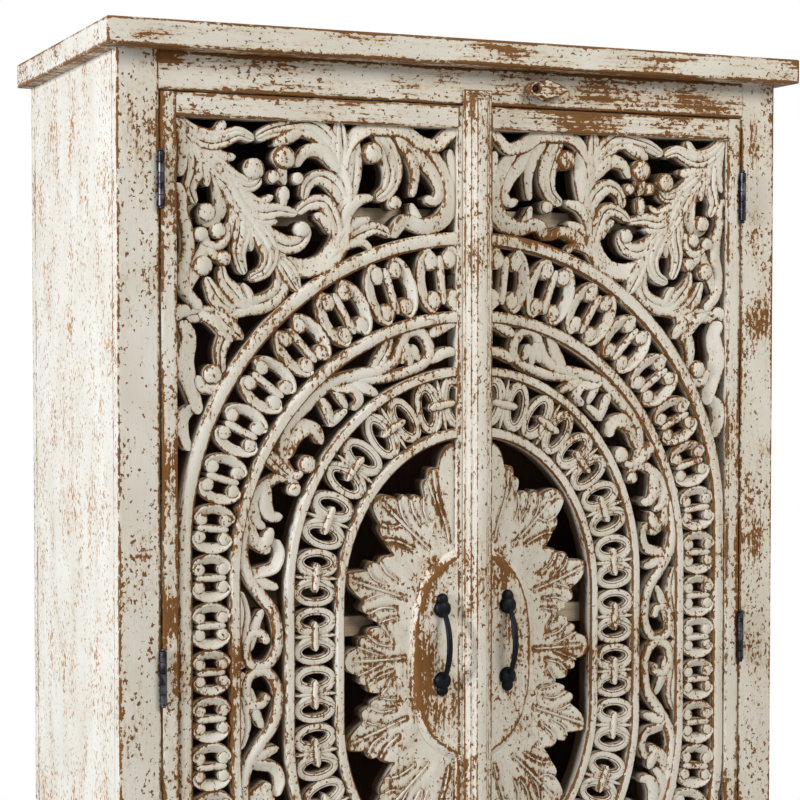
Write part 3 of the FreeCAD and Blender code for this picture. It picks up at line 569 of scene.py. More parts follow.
# Corner foliage: section, widths at start, middle and end, then points (across, up)
CORNER = [
    ("leaf", (1.6, 3.0, 1.3),
     [(41.9, 73.2), (40, 71.4), (37.3, 70.4), (35.4, 70.7), (33.5, 71.4), (31.3, 70.7)]),
    ("leaf", (1.2, 1.9, 1.2), [(39.2, 70.9), (37.7, 70.6), (36.5, 71.2), (35.4, 73.0)]),
    ("leaf", (1.4, 2.2, 1.0), [(39.4, 70.3), (37.3, 68.9), (35.8, 68.3), (33.8, 68.3)]),
    ("leaf", (1.6, 3.0, 1.6),
     [(40.6, 71), (39.2, 69.3), (36.3, 66.8), (33.5, 65.1), (31.5, 64.7), (30.4, 65.7)]),
    ("stem", (1.4, 2.3, 1.2), [(41.6, 72.4), (41.2, 71.2), (40.8, 68.3), (41.5, 65.6)]),
    ("leaf", (1.6, 2.8, 1.2), [(40.6, 71.6), (40, 70.3), (39.4, 66.4), (40.1, 63.9), (39.4, 62.0)]),
    ("leaf", (1.2, 1.8, 1.0), [(39.2, 69.6), (38.6, 68.3), (37.9, 66.2), (37.8, 64.3)]),
    ("curl", (1.6, 2.5, 1.6),
     [(38.6, 69.6), (37.9, 68.7), (36.5, 66.2), (35.8, 63.5), (36, 61.2), (37.3, 59.8), (38.9, 60.4)]),
    ("leaf", (2.4, 3.4, 2.4),
     [(39.2, 70), (36.7, 67.4), (34.6, 64.5), (32.3, 61), (30, 58.5), (28.5, 55.8), (27.1, 54.1)]),
    ("leaf", (1.4, 1.9, 0.9), [(35.6, 65.4), (34.6, 64.5), (32.5, 63.2), (30.4, 62.4), (28.6, 63.3)]),
    ("leaf", (1.6, 2.8, 1.1), [(34.4, 63.8), (33.1, 62.6), (30.4, 61.2), (27.7, 61.4), (25.2, 61)]),
    ("leaf", (1.2, 1.9, 1.0), [(33, 61.8), (31.9, 60.8), (30, 59.9), (28.0, 59.9)]),
    ("leaf", (1.6, 2.3, 1.1), [(34.8, 65), (34.2, 63.5), (33.8, 60.7), (34.4, 58.2), (34, 56.8)]),
    ("leaf", (1.6, 3.0, 1.4), [(33.6, 63), (33.1, 61.6), (32.9, 58.7), (33.5, 55.5), (32.7, 52.8)]),
    ("leaf", (1.0, 1.6, 0.8), [(32.8, 61.2), (32.3, 59.7), (31.7, 57.8), (31.7, 55.9)]),
    ("leaf", (1.8, 3.0, 1.4),
     [(32.2, 61), (31.5, 59.7), (29.8, 57.4), (29, 55.3), (29.8, 53.3), (31.9, 52.2)]),
    ("leaf", (1.6, 2.8, 1.5),
     [(31, 60), (30.4, 59.3), (28.5, 57.6), (26.5, 56.8), (24.6, 57.4), (24, 58.7), (25.1, 59.5)]),
    ("leaf", (2.0, 2.8, 2.0),
     [(28.5, 55.8), (27.3, 53), (27.7, 50.5), (29.6, 49.1), (32.7, 48.5), (35.4, 47.8), (37.7, 47.6),
      (40.6, 47.2)]),
    ("leaf", (1.6, 2.6, 1.1), [(31.6, 48.6), (32.7, 48.9), (34.2, 50.3), (35.6, 52.2), (35.9, 54.0)]),
    ("leaf", (1.0, 1.5, 0.8), [(30.6, 49), (31.5, 49.2), (32.3, 50.7), (33.2, 51.6)]),
    ("leaf", (1.6, 2.6, 1.1), [(34, 48.2), (35, 48.4), (36.5, 49.7), (37.4, 51.2), (38.0, 52.4)]),
    ("stem", (1.4, 1.9, 1.6),
     [(42.0, 64.6), (41.2, 63.2), (41.2, 61), (40.6, 58.5), (40.4, 56.2), (41, 53.5), (40.9, 51),
      (38.7, 48.2)]),
    ("leaf", (1.4, 2.2, 1.2), [(40.8, 50.2), (40.4, 51.4), (39.4, 53.5), (38.5, 55.5), (37.7, 57.8)]),
    ("stem", (1.0, 1.4, 1.0), [(35.0, 59.6), (35.2, 57.4), (36.6, 56.4), (38.0, 57.0), (38.6, 58.4)]),
    ("stem", (1.0, 1.4, 1.2), [(38.4, 57.2), (37.4, 56.2), (36.8, 55.2), (35.6, 54.6)]),
    ("leaf", (1.6, 2.9, 1.2), [(27.9, 55), (27.1, 54.1), (26.1, 52.6), (25.0, 50.6)]),
    ("curl", (2.0, 2.9, 1.8), [(41.4, 46.6), (40.5, 45), (41, 41), (40, 37.5), (39.0, 34.4)]),
    ("stem", (1.4, 1.8, 1.4), [(39.2, 39.4), (38.4, 37.9), (36.8, 37.7), (35.4, 38.3)]),
    ("leaf", (1.4, 2.4, 1.2), [(36.6, 48), (35.4, 46.6), (33.9, 45.2), (32.9, 44.2)]),
    ("leaf", (1.4, 2.4, 1.2), [(34.0, 48.2), (34.9, 45.3), (36.0, 42.6), (35.8, 39.8)]),
    ("leaf", (1.2, 1.9, 1.0), [(39, 47.6), (37.2, 46.8), (35.5, 44.9), (34.4, 43.9)]),
    ("curl", (1.4, 2.2, 1.4), [(39.4, 35.6), (41.2, 34), (41.2, 31.6), (40.3, 29.6)]),
    ("leaf", (1.4, 2.0, 1.2), [(40, 47.6), (41.2, 47.9), (42.4, 46.8)]),
    ("curl", (2.4, 3.0, 1.8),
     [(27.3, 54.3), (24, 53.7), (21.5, 54.3), (19.4, 56.5), (18.5, 60.5), (18.2, 64.5), (19.0, 67.8)]),
    ("leaf", (1.8, 3.4, 1.5),
     [(18.6, 66.4), (18.9, 68.2), (20.5, 70.8), (23, 72.6), (26.5, 72.4), (29, 71.8), (31.0, 70.8)]),
    ("leaf", (1.4, 2.0, 1.2), [(24.6, 72), (26.4, 71.2), (28.3, 70.1)]),
    ("leaf", (1.4, 2.3, 1.1), [(18.9, 66.8), (20, 68), (22, 69.6), (24, 69.2), (25.3, 67.3)]),
    ("leaf", (1.4, 2.6, 1.4), [(18.1, 60.4), (18.3, 62), (19.8, 65), (21.8, 66), (23.6, 65), (24.2, 63.0)]),
    ("leaf", (1.4, 2.7, 1.3),
     [(18.9, 56.6), (19.2, 57.7), (19.8, 60), (21.5, 62.6), (23.5, 62.3), (25.2, 61.1)]),
    ("leaf", (1.2, 1.8, 1.0), [(20.2, 58.4), (21.1, 60.2), (22.6, 61.0)]),
    ("leaf", (1.2, 2.2, 1.0), [(18.5, 59.2), (18.2, 60.7), (16.7, 62.8), (14.2, 63.5)]),
    ("leaf", (1.2, 1.9, 1.0), [(19.0, 56.2), (19.4, 57.2), (17.1, 59.7), (14.6, 60.6)]),
    ("leaf", (1.4, 2.4, 1.3), [(20.4, 55), (19.4, 56.2), (16.3, 58.5), (13.6, 59.3), (11.2, 58.4)]),
    ("leaf", (1.0, 1.5, 0.9), [(20.8, 54.8), (19.9, 55.7), (17.7, 57), (15.3, 57.2), (14.3, 56.2)]),
    ("leaf", (1.6, 2.9, 1.6), [(19.1, 66.6), (19.1, 70), (19.1, 73.6)]),
    ("curl", (1.8, 2.3, 1.8),
     [(18.6, 67), (18.4, 68.9), (17.3, 71), (15.3, 72.6), (12.5, 72.9), (9.4, 72.6), (7.1, 71.2),
      (4.8, 70.8), (2.8, 72.4), (1.2, 73.6)]),
    ("leaf", (1.6, 2.4, 1.2), [(17.4, 72), (17, 71), (16.8, 68), (17.3, 64), (18.1, 61.2)]),
    ("leaf", (1.8, 3.4, 1.6),
     [(13.8, 73), (13.2, 72.2), (11.7, 69.3), (11.1, 67), (11.8, 64.6), (13.6, 63.2)]),
    ("leaf", (1.4, 1.9, 1.0), [(10.8, 72.6), (10.2, 71.6), (8.6, 69.3), (7.9, 67), (8.2, 63.7)]),
    ("leaf", (1.4, 2.3, 1.3),
     [(9.8, 72), (9, 71), (6.7, 68.7), (4.6, 66.2), (4, 64.5), (4.8, 63.2), (6.3, 63.6)]),
    ("curl", (1.4, 2.7, 1.8),
     [(5.6, 70.4), (4.8, 69.3), (2.8, 66.2), (2.3, 63.2), (4, 60.5), (6.7, 59.7), (9.4, 60.3),
      (11.4, 58.2)]),
    ("leaf", (1.2, 1.7, 0.9), [(6.9, 59.8), (7.5, 60.6), (8.5, 62.8)]),
    ("leaf", (1.2, 1.8, 1.2), [(2.6, 70.4), (2.2, 68.5), (1.5, 64.6)]),
]
# Berries: across, up and radius
BERRIES = [
    (31.3, 66.8, 1.45), (28.6, 65.8, 0.95), (37.9, 60.9, 1.25), (27.1, 68.4, 1.6), (25.1, 65.7, 0.85),
    (38.7, 58.0, 1.0), (36.3, 58.5, 1.1), (38.5, 53.9, 1.35), (35.6, 54.9, 1.05), (14.2, 69.5, 1.5),
    (37.2, 39.6, 1.35), (24.5, 58.9, 1.1), (11.0, 62.8, 1.0),
]

# Two small leaves that hang between the berries beside the crown
DROPS = [
    ("leaf", (1.4, 1.7, 0.9), [(26.9, 64.6), (27.1, 63.4), (27.1, 61.9)]),
    ("leaf", (1.2, 1.6, 1.0), [(27.1, 67.6), (27.3, 66.2), (26.9, 64.8)]),
]

# The vine between the second and third rib
VINE = [
    ("stem", (1.7, 1.6, 1.3),
     [(33.3, 22.4), (32.8, 20), (33, 15), (32.2, 12.5), (30.5, 10), (28.7, 7.5), (28.1, 5), (28.3, 2.2),
      (30, 0.3), (32, 0.8), (32.6, 3), (31.8, 4.8), (30.2, 4.6), (29.6, 3.4)]),
    ("leaf", (1.4, 2.7, 1.2), [(33.2, 0.2), (33.4, 4), (32.9, 8), (33.5, 10.6)]),
    ("leaf", (1.2, 1.8, 1.0), [(32.2, 2.4), (31.8, 4.2), (31.1, 6.2), (30.2, 8.0)]),
    ("curl", (1.3, 1.7, 1.4),
     [(33.2, 13.4), (32.2, 12.8), (30.5, 13), (28.5, 13.6), (27.8, 15.5), (28.5, 17.3)]),
    ("leaf", (1.5, 2.3, 1.2), [(29.2, 15.6), (30.2, 16.5), (31.5, 17.6), (31.9, 19.8)]),
    ("leaf", (1.2, 2.0, 1.0), [(30.4, 16.0), (29.6, 17.4), (28.9, 18.9)]),
    ("leaf", (1.3, 1.9, 1.0), [(32.8, 13.2), (31.9, 12.5), (30.3, 11.6), (28.0, 10.8)]),
    ("stem", (1.7, 1.7, 1.4),
     [(33.1, 15.4), (32.8, 17), (31.9, 21.8), (30.7, 23.8), (29.5, 24.8), (27.6, 25.7), (25.9, 25.2),
      (25.5, 24.0)]),
    ("leaf", (1.4, 2.2, 1.2), [(29.9, 25), (29.7, 24.2), (29.8, 22), (28.8, 20.4), (27.4, 20.4)]),
    ("leaf", (1.3, 2.0, 1.1), [(31.1, 23.8), (31.3, 22.6), (31.4, 21), (30.8, 19.6), (29.8, 19.0)]),
    ("leaf", (1.4, 2.4, 1.2), [(30.0, 29.2), (28.9, 28.2), (27.4, 26.8), (26.0, 25.6)]),
    ("stem", (1.5, 1.3, 1.1), [(26.1, 26.0), (25.3, 25.8), (24.5, 26.4)]),
    ("stem", (1.6, 1.8, 1.4),
     [(25.7, 25.0), (25.9, 25.6), (27, 27.5), (27.3, 29.5), (26.8, 31.5), (25.6, 33.5), (24, 35),
      (22.1, 36.9), (19.5, 38.5), (16.5, 39.2), (13.5, 39.8), (10.9, 41.3), (10, 43), (9, 45), (7.5, 45.3),
      (6, 44), (5.6, 42), (6.5, 40.8), (8.5, 39.9), (12, 38.9), (16.5, 38.6)]),
    ("curl", (1.6, 2.8, 1.4),
     [(26.8, 28.2), (26.4, 29.4), (25.8, 31), (24.3, 32.2), (22.6, 31.9), (21.7, 30.0)]),
    ("leaf", (1.4, 2.4, 1.1), [(14.2, 39.6), (13.6, 40.5), (12.3, 42.7), (11.5, 44.8)]),
    ("curl", (1.2, 1.7, 1.2), [(20.4, 37.8), (19.2, 37.5), (16.9, 37.3), (16.1, 35.9), (17.2, 34.6)]),
    ("leaf", (1.0, 1.6, 0.9), [(20.0, 37.8), (19.4, 37.0), (18, 34.8)]),
    ("leaf", (1.2, 2.0, 1.1), [(17.2, 38.6), (16.2, 38), (13.4, 36.6)]),
    ("leaf", (1.2, 1.7, 1.0), [(21.8, 36.2), (21.1, 35), (20.2, 32.6)]),
    ("leaf", (1.0, 1.5, 0.9), [(20.6, 32.4), (19.8, 33.2), (18.0, 34.6)]),
    ("leaf", (1.0, 1.6, 0.9), [(9.0, 43.6), (9.4, 42.2), (9.9, 40.8)]),
    ("leaf", (1.0, 1.6, 0.9), [(8.6, 43.2), (8.7, 41.8), (8.6, 40.4)]),
    ("leaf", (1.0, 1.6, 0.9), [(8.2, 43.4), (7.8, 42.2), (7.2, 41.2)]),
    ("leaf", (1.3, 2.1, 1.1), [(5.6, 44.6), (4.6, 45.3), (2.8, 46.3), (1.2, 46.6)]),
    ("leaf", (1.2, 1.8, 1.1), [(5.9, 41), (4.9, 41.5), (3.2, 42.3), (1.2, 42.4)]),
]
VINE_BERRIES = [(25.7, 24.0, 0.95), (23.8, 27.3, 1.25), (29.8, 3.9, 0.6)]

# Leaves round the medallion: outline of a quarter, then the raised veins as (width, points)
LEAF_OUTLINE = [
    (18.5, 0), (18.2, 1), (17.3, 1.7), (16.1, 1.9), (16.3, 3.2), (15, 3.4), (14.9, 4.5), (12.9, 4.6),
    (12.95, 5.05), (14.6, 5.7), (14.45, 6.25), (16.1, 7), (15.5, 8.3), (17.8, 10.2), (17.9, 11.9),
    (17.7, 12.4), (15.1, 12.5), (14.6, 13.8), (13.2, 13.4), (12.7, 14.3), (11.2, 14.4), (11, 14.6),
    (12.05, 16), (12.25, 16.4), (13.3, 17.95), (13, 18.8), (13.85, 20.1), (14.4, 21.5), (13.2, 22.8),
    (11.7, 22.8), (10.5, 22.2), (10.2, 21.9), (9.6, 22.8), (8.8, 22.5), (8.5, 21.9), (7.8, 22.8),
    (6.7, 22.2), (6.25, 22.3), (6.8, 24.4), (5.8, 24.8), (5.7, 26.3), (4.2, 26.3), (3.8, 28.2), (2.8, 29.4),
    (1.6, 29.8), (0, 30.6),
]
VEINS = [
    (1.0, [(17.0, 0), (13, 0), (9.4, 0)]), (0.7, [(16.4, 2.0), (14.4, 1.2), (12.8, 0.5)]),
    (0.8, [(14.9, 3.6), (13.4, 2.3), (11.2, 1.7)]), (0.6, [(12.9, 4.9), (12.2, 4.0), (11.4, 2.8)]),
    (1.0, [(17.4, 11.3), (13, 9.7), (9.2, 8.4)]), (0.7, [(14.9, 12.9), (14.3, 11.6), (12.2, 10.3)]),
    (0.9, [(13.0, 13.6), (12.2, 12.2), (10.4, 10.8)]), (0.7, [(15.4, 8.3), (14.2, 8.8), (12.8, 9.1)]),
    (0.8, [(14.6, 6.5), (12.8, 7.2), (10.8, 7.0)]), (0.6, [(12.9, 5.2), (11.6, 5.6), (10.4, 5.6)]),
    (1.1, [(12.8, 21.8), (9, 18.1), (5.8, 15.1)]), (0.8, [(12.9, 18.8), (11.2, 18.2), (9.6, 18.7)]),
    (0.9, [(12.3, 16.5), (10.8, 16.4), (8.9, 15.6), (7.9, 15.0)]),
    (0.7, [(10.2, 22), (9.8, 20), (8.6, 18.0)]), (0.8, [(8.4, 22), (8.1, 20.4), (7.0, 18.6)]),
    (0.7, [(6.4, 22.4), (6.5, 20.4), (5.8, 18.6)]), (0.9, [(5.0, 26), (4.4, 22), (3.2, 18.4), (2.6, 16.0)]),
    (0.7, [(5.8, 24.6), (5.2, 22.6), (4.6, 21.4)]), (1.0, [(1.2, 29.6), (1.2, 24), (1.2, 16.4)]),
]

# The plain oval on top of the leaves: outline of a quarter
MEDALLION = [
    (8.7, 0), (8.6, 4), (8.2, 7), (7.3, 9.8), (6.1, 11.9), (4.7, 13.2), (3.3, 14.2), (1.8, 15), (0, 15.6),
]


def squares(side, up):
    """Gives the function that sets a quarter's squares on one door, in mm."""
    across = (PANEL_OUTER - PANEL_INNER[side]) / (ACROSS - HIDDEN)
    upward = (PANEL_HIGH - PANEL_LOW) / 2 / UP

    def place(u, w):
        return side * (PANEL_INNER[side] + (u - HIDDEN) * across), MIDDLE + up * w * upward

    return place


def square_size(side):
    """Mean size of a square on one door, in mm."""
    across = (PANEL_OUTER - PANEL_INNER[side]) / (ACROSS - HIDDEN)
    return (across + (PANEL_HIGH - PANEL_LOW) / 2 / UP) / 2


def widths_along(points, widths):
    """Sets start, middle and end widths on a stroke's points by their share of its run."""
    spots = np.array(points, float)
    run = np.concatenate([[0], np.cumsum(np.hypot(*(spots[1:] - spots[:-1]).T))])
    return np.interp(run / run[-1], [0, 0.45, 1], widths)


# Leaves wider than the first, in mm, get two grooves; leaves slimmer than the second get none
BROAD_LEAF = 28.5
SLIM_LEAF = 23.5
# Strokes lie at five levels this far apart in mm, so that crossing fronts never share a plane
LEVEL_STEP = 0.55


def strokes(table, side, up, depth, dip):
    """Carves a table's strokes into one quarter of the pattern."""
    place = squares(side, up)
    size = square_size(side)
    made = []
    for number, (kind, widths, points) in enumerate(table):
        spread = widths_along(points, widths)
        rows = [(*place(u, w), width * size) for (u, w), width in zip(points, spread)]
        level = depth + ((number * 7) % 5 - 2) * LEVEL_STEP
        if kind == "leaf" and max(widths) * size > BROAD_LEAF:
            kind = "broad"
        if kind == "leaf" and max(widths) * size < SLIM_LEAF:
            kind = "blade"
        sink = dip / 2 if kind in ("stem", "curl") else dip
        made.append(ribbon(rows, kind, level, flip=side * up > 0, dip=sink))
    return made


def berries(table, side, up, depth, rise):
    """Sets a table's berries in one quarter; rise is that of a berry of 15 mm radius."""
    place = squares(side, up)
    size = square_size(side)
    return [dome(*place(u, w), radius * size, depth, rise * radius * size / 15) for u, w, radius in table]


def arch(half_wide, rise, spring, chords):
    """One side of an arch in squares: straight up to the springing, then a quarter ellipse."""
    angles = [math.pi / 2 * number / chords for number in range(chords + 1)]
    return [(half_wide, 0)] + [(half_wide * math.cos(a), spring + rise * math.sin(a)) for a in angles]


# Ribs stop this many squares short of the meeting line
RIB_END = 0.7
RIB_CHORDS = 24


def rib_line(rib):
    """Middle line of a rib, round the whole side from crown to crown, with its width."""
    half_wide, rise, spring, side_width, crown_width = rib
    first = math.acos(RIB_END / half_wide)
    upper = []
    for number in range(RIB_CHORDS + 1):
        angle = first * (1 - number / RIB_CHORDS)
        width = side_width + (crown_width - side_width) * math.sin(angle) ** 2
        upper.append(((half_wide - width / 2) * math.cos(angle),
                      spring + (rise - width / 2) * math.sin(angle), width))
    side = half_wide - side_width / 2
    upper += [(side, spring * share, side_width) for share in (0.75, 0.5, 0.25)]
    return upper + [(side, 0, side_width)] + [(u, -w, width) for u, w, width in upper[::-1]]


def ribs(side):
    """The arched ribs of one door."""
    place = squares(side, 1)
    size = square_size(side)
    made = []
    for rib in RIBS:
        rows = [(*place(u, w), width * size) for u, w, width in rib_line(rib)]
        made.append(ribbon(rows, "rib", 3.0, flip=side > 0, round_ends=(False, False), step=6.0))
    return made


def whole_side(quarter, step):
    """A quarter's outline mirrored below the middle, with points no farther apart than step."""
    half = [(u, -w) for u, w in quarter[:0:-1]] + list(quarter)
    fine = [half[0]]
    for (u0, w0), (u1, w1) in zip(half, half[1:]):
        count = max(1, round(math.hypot(u1 - u0, w1 - w0) / step))
        fine += [(u0 + (u1 - u0) * n / count, w0 + (w1 - w0) * n / count) for n in range(1, count + 1)]
    return fine


def rounded_lobes(outline):
    """The outline with its outward corners cut round; the notches between lobes stay sharp."""
    for cut in (0.28, 0.25):
        softer = [outline[0]]
        for before, corner, after in zip(outline, outline[1:], outline[2:]):
            turn = ((corner[0] - before[0]) * (after[1] - corner[1])
                    - (corner[1] - before[1]) * (after[0] - corner[0]))
            if turn > 0:
                softer += [tuple(c + (n - c) * cut for c, n in zip(corner, near))
                           for near in (before, after)]
            else:
                softer.append(corner)
        outline = softer + [outline[-1]]
    return outline


def vein_distance(spots):
    """Squares from each spot to the middle line of its nearest vein."""
    nearest = np.full(len(spots), 99.0)
    spots = np.stack([spots[:, 0], np.abs(spots[:, 1])], axis=1)
    for width, points in VEINS:
        for start, end in zip(np.array(points[:-1], float), np.array(points[1:], float)):
            way = end - start
            share = np.clip((spots - start) @ way / (way @ way), 0, 1)
            gaps = spots - start - share[:, None] * way
            nearest = np.minimum(nearest, np.hypot(gaps[:, 0], gaps[:, 1]))
    return nearest


def plate(side, outline, rows, relief=None):
    """Half of a carved plate round the middle: rows are (share of the reach, depth, arris)."""
    place = squares(side, 1)
    rim = np.array(outline, float)
    shares, depths, bare = (np.array(column, float) for column in zip(*rows))
    spots = (rim[:, None, :] * shares[None, :, None]).reshape(-1, 2)
    depths = np.tile(depths, len(rim))
    bare = np.tile(bare, len(rim))
    if relief:
        depths, bare = relief(spots, depths, bare)
    points = []
    for (u, w), depth in zip(spots, depths):
        x, z = place(u, w)
        points.append((x, DOOR_FRONT + depth, z))
    return skin(points, len(rows), bare)


# Deeper than this, in mm, the leaves' front turns into their walls
LEAF_WALL = 12.6


def leaf_relief(spots, depths, bare):
    """Cuts a groove on both sides of each vein and hollows the lobes between them; the brown laid
    along the grooves is partly worn paint and partly painted shade in them.
    """
    gap = vein_distance(spots)
    top = depths < LEAF_WALL
    groove = np.exp(-(gap / 0.42) ** 2)
    hollow = 0.8 * np.exp(-((gap - 1.5) / 0.8) ** 2)
    depths = np.where(top, depths + 1.7 * groove - hollow + 0.4, depths)
    bare = np.where(top, np.maximum(bare, 0.75 * np.exp(-((gap - 0.38) / 0.22) ** 2)), bare)
    return depths, bare


# Length of the leaves' outline steps in squares, the raised veins' width against the drawn one,
# and the doors' thickness in mm
LEAF_STEP = 0.4
VEIN_WIDTH = 0.72
THROUGH = DOOR_BACK - DOOR_FRONT


def medallion_parts(side):
    """The ring of leaves, the plain oval on top of it and the raised veins."""
    size = square_size(side)
    shares = list(np.linspace(0.42, 0.955, 42))
    leaf_rows = [(0.05, THROUGH, 0), (0.05, 12.4, 0)]
    leaf_rows += [(s, 9.7 + 2.6 * max(0.0, 1 - s / 0.72) ** 0.7, 0) for s in shares]
    # Rows below zero in the arris column, on the leaves' rim and in the oval below, darken walls and backs:
    # painted shade in the deep cuts, partly grime
    leaf_rows += [(0.98, 9.6, 0.0), (0.993, 9.9, 0.9), (1.0, 11.0, 1.1), (1.0, 14.0, -0.05),
                  (1.0, THROUGH, -1), (0.98, THROUGH, 0)]
    oval_rows = [(0.05, THROUGH - 1, -1), (0.05, 1.0, 0), (0.45, 1.0, 0), (0.84, 1.0, 0.0),
                 (0.895, 1.1, 0.35), (0.915, 1.5, 1.0), (0.94, 3.0, 0.1), (0.97, 6.5, 0.0),
                 (1.0, 11.8, 0.1), (1.0, 13.4, -0.1), (1.0, THROUGH - 1, -1)]
    made = [plate(side, whole_side(rounded_lobes(LEAF_OUTLINE), LEAF_STEP), leaf_rows, leaf_relief),
            plate(side, whole_side(MEDALLION, LEAF_STEP * 2), oval_rows)]
    for width, points in VEINS:
        for up in (1, -1):
            if up < 0 and points[0][1] == 0:
                continue
            corner = squares(side, up)
            spread = np.linspace(1.0, 0.6, len(points))
            rows = [(*corner(u, w), width * size * share * VEIN_WIDTH)
                    for (u, w), share in zip(points, spread)]
            made.append(ribbon(rows, "vein", 8.9, step=2.5, back=DOOR_FRONT + 16.0, dip=1.8))
    return made


# Links and chains that repeat along the arches

def repeat_tree():
    """Sets a motif on every point of a plan, turned and stretched as the point says."""
    tree = bpy.data.node_groups.new("repeat_motif_on_plan", "GeometryNodeTree")
    for name, kind in (("Plan", "NodeSocketGeometry"), ("Motif", "NodeSocketObject"),
                       ("Size", "NodeSocketFloat"), ("Finish", "NodeSocketMaterial")):
        tree.interface.new_socket(name=name, in_out="INPUT", socket_type=kind)
    tree.interface.new_socket(name="Carving", in_out="OUTPUT", socket_type="NodeSocketGeometry")
    given = add(tree, "NodeGroupInput")
    motif = add(tree, "GeometryNodeObjectInfo", {"Object": given.outputs["Motif"]})
    turn = add(tree, "GeometryNodeInputNamedAttribute", {"Name": "turn"}, data_type="FLOAT_VECTOR")
    stretch = add(tree, "GeometryNodeInputNamedAttribute", {"Name": "stretch"}, data_type="FLOAT_VECTOR")
    sized = add(tree, "ShaderNodeVectorMath", {0: stretch.outputs[0], "Scale": given.outputs["Size"]},
                operation="SCALE")
    spread = add(tree, "GeometryNodeInstanceOnPoints",
                 {"Points": given.outputs["Plan"], "Instance": motif.outputs["Geometry"],
                  "Rotation": turn.outputs[0], "Scale": sized.outputs[0]})
    whole = add(tree, "GeometryNodeRealizeInstances", {"Geometry": spread.outputs[0]})
    dressed = add(tree, "GeometryNodeSetMaterial", {"Geometry": whole.outputs[0],
                                                    "Material": given.outputs["Finish"]})
    add(tree, "NodeGroupOutput", {0: dressed.outputs[0]})
    return tree


REPEAT = repeat_tree()


def repeated(name, motif_parts, plan, body):
    """Repeats a motif, drawn round (0, 0) in mm, at plan rows of (x, z, turn, stretch x, stretch z)."""
    motif = piece(name + "_motif", motif_parts, PAINT_CARVING, None)
    mesh = bpy.data.meshes.new(name + "_plan")
    mesh.from_pydata([(x * MM, 0, z * MM) for x, z, *rest in plan], [], [])
    turns = mesh.attributes.new("turn", "FLOAT_VECTOR", "POINT")
    turns.data.foreach_set("vector", np.array([(0, row[2], 0) for row in plan], np.float32).ravel())
    stretches = mesh.attributes.new("stretch", "FLOAT_VECTOR", "POINT")
    sizes = np.array([(row[3], 1, row[4]) for row in plan], np.float32)
    stretches.data.foreach_set("vector", sizes.ravel())
    holder = bpy.data.objects.new(name + "_plan", mesh)
    bpy.context.scene.collection.objects.link(holder)
    modifier = holder.modifiers.new("repeat", "NODES")
    modifier.node_group = REPEAT
    sockets = {item.name: item.identifier for item in REPEAT.interface.items_tree if item.in_out == "INPUT"}
    modifier[sockets["Motif"]] = motif
    modifier[sockets["Size"]] = 1.0
    modifier[sockets["Finish"]] = PAINT_CARVING
    ready = holder.evaluated_get(bpy.context.evaluated_depsgraph_get())
    result = bpy.data.meshes.new_from_object(ready)
    result.name = name
    made = bpy.data.objects.new(name, result)
    bpy.context.scene.collection.objects.link(made)
    for spare in (holder, motif):
        bpy.data.objects.remove(spare)
    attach(made, body)
    return made


def band_plan(side, outside, inside, count, growth, unit_across, unit_along):
    """Places along the middle of a band between two arches, from the lower crown to the upper;
    they grow towards both crowns."""
    mean = [(a + b) / 2 for a, b in zip(outside, inside)]
    upper = arch(*mean, 60)
    line = np.array([(u, -w) for u, w in upper[:0:-1]] + upper, float)
    run = np.concatenate([[0], np.cumsum(np.hypot(*(line[1:] - line[:-1]).T))])
    weights = np.array([1 + growth * abs((2 * number + 1) / count - 1) for number in range(count)])
    pitches = weights / weights.sum() * run[-1]
    marks = np.cumsum(pitches) - pitches / 2
    side_half = (outside[0] - inside[0]) / 2
    crown_half = (outside[1] + outside[2] - inside[1] - inside[2]) / 2
    place = squares(side, 1)
    plan = []
    for mark, pitch in zip(marks, pitches):
        (x, z), before, after = [place(*(np.interp(mark + step, run, column) for column in line.T))
                                 for step in (0, -0.5, 0.5)]
        angle = math.atan2(after[0] - before[0], after[1] - before[1])
        height = abs(np.interp(mark, run, line[:, 1])) / (mean[1] + mean[2])
        half = side_half + (crown_half - side_half) * height ** 2
        plan.append((x, z, angle, half / unit_across, pitch / unit_along))
    return plan


def link_motif():
    """A pair of C scrolls back to back with beaded ends and a lens bar between."""
    made = []
    arc = [(-2.3, 0.9), (-2.4, 1.45), (-1.95, 1.98), (-1.1, 2.4), (0, 2.6), (1.1, 2.4), (1.95, 1.98),
           (2.4, 1.45), (2.3, 0.9)]
    widths = [0.8, 1.0, 1.2, 1.35, 1.4, 1.35, 1.2, 1.0, 0.8]
    for up in (1, -1):
        rows = [(u * 10, up * w * 10, width * 10) for (u, w), width in zip(arc, widths)]
        made.append(ribbon(rows, "curl", 4.6, flip=up > 0, step=2.8))
        for u in (-17.2, 17.2):
            made.append(dome(u, up * 11.8, 8.6, 5.8, 1.9))
    bar = [(-21, 0, 12.6), (-8, 0, 10.2), (8, 0, 10.2), (21, 0, 12.6)]
    made.append(ribbon(bar, "stem", 5.6, step=3.6))
    return made


RING_CHORDS = 26


def chain_motif():
    """Two flat rings tied by an upright clasp, with a fan of three small leaves on either side."""
    made = []
    for up, depth in ((1, 5.8), (-1, 6.8)):
        rows = []
        for number in range(RING_CHORDS + 1):
            turn = 2 * math.pi * number / RING_CHORDS
            z = up * 22 + 13.3 * math.sin(turn)
            rows.append((22.8 * math.cos(turn), z, 10.4 + 1.6 * abs(z) / 38))
        made.append(ribbon(rows, "ring", depth, round_ends=(False, False), step=3.2))
        for side in (1, -1):
            rows = [(side * 5, up * 2.4, 5.0), (side * 14, up * 5.4, 8.4), (side * 22, up * 10.6, 6.4),
                    (side * 27.4, up * 16.4, 2.6)]
            made.append(ribbon(rows, "blade", 4.9, flip=side * up > 0, step=2.8, dip=1.4))
    for side in (1, -1):
        rows = [(side * 5, 0, 4.4), (side * 16, 0, 7.0), (side * 28.4, 0, 2.8)]
        made.append(ribbon(rows, "stem", 5.6, step=3.2))
    clasp = [(0, -20.5, 8.2), (0, -12, 9.6), (0, 12, 9.6), (0, 20.5, 8.2)]
    made.append(ribbon(clasp, "stem", 3.2, step=3.4))
    return made


# The doors

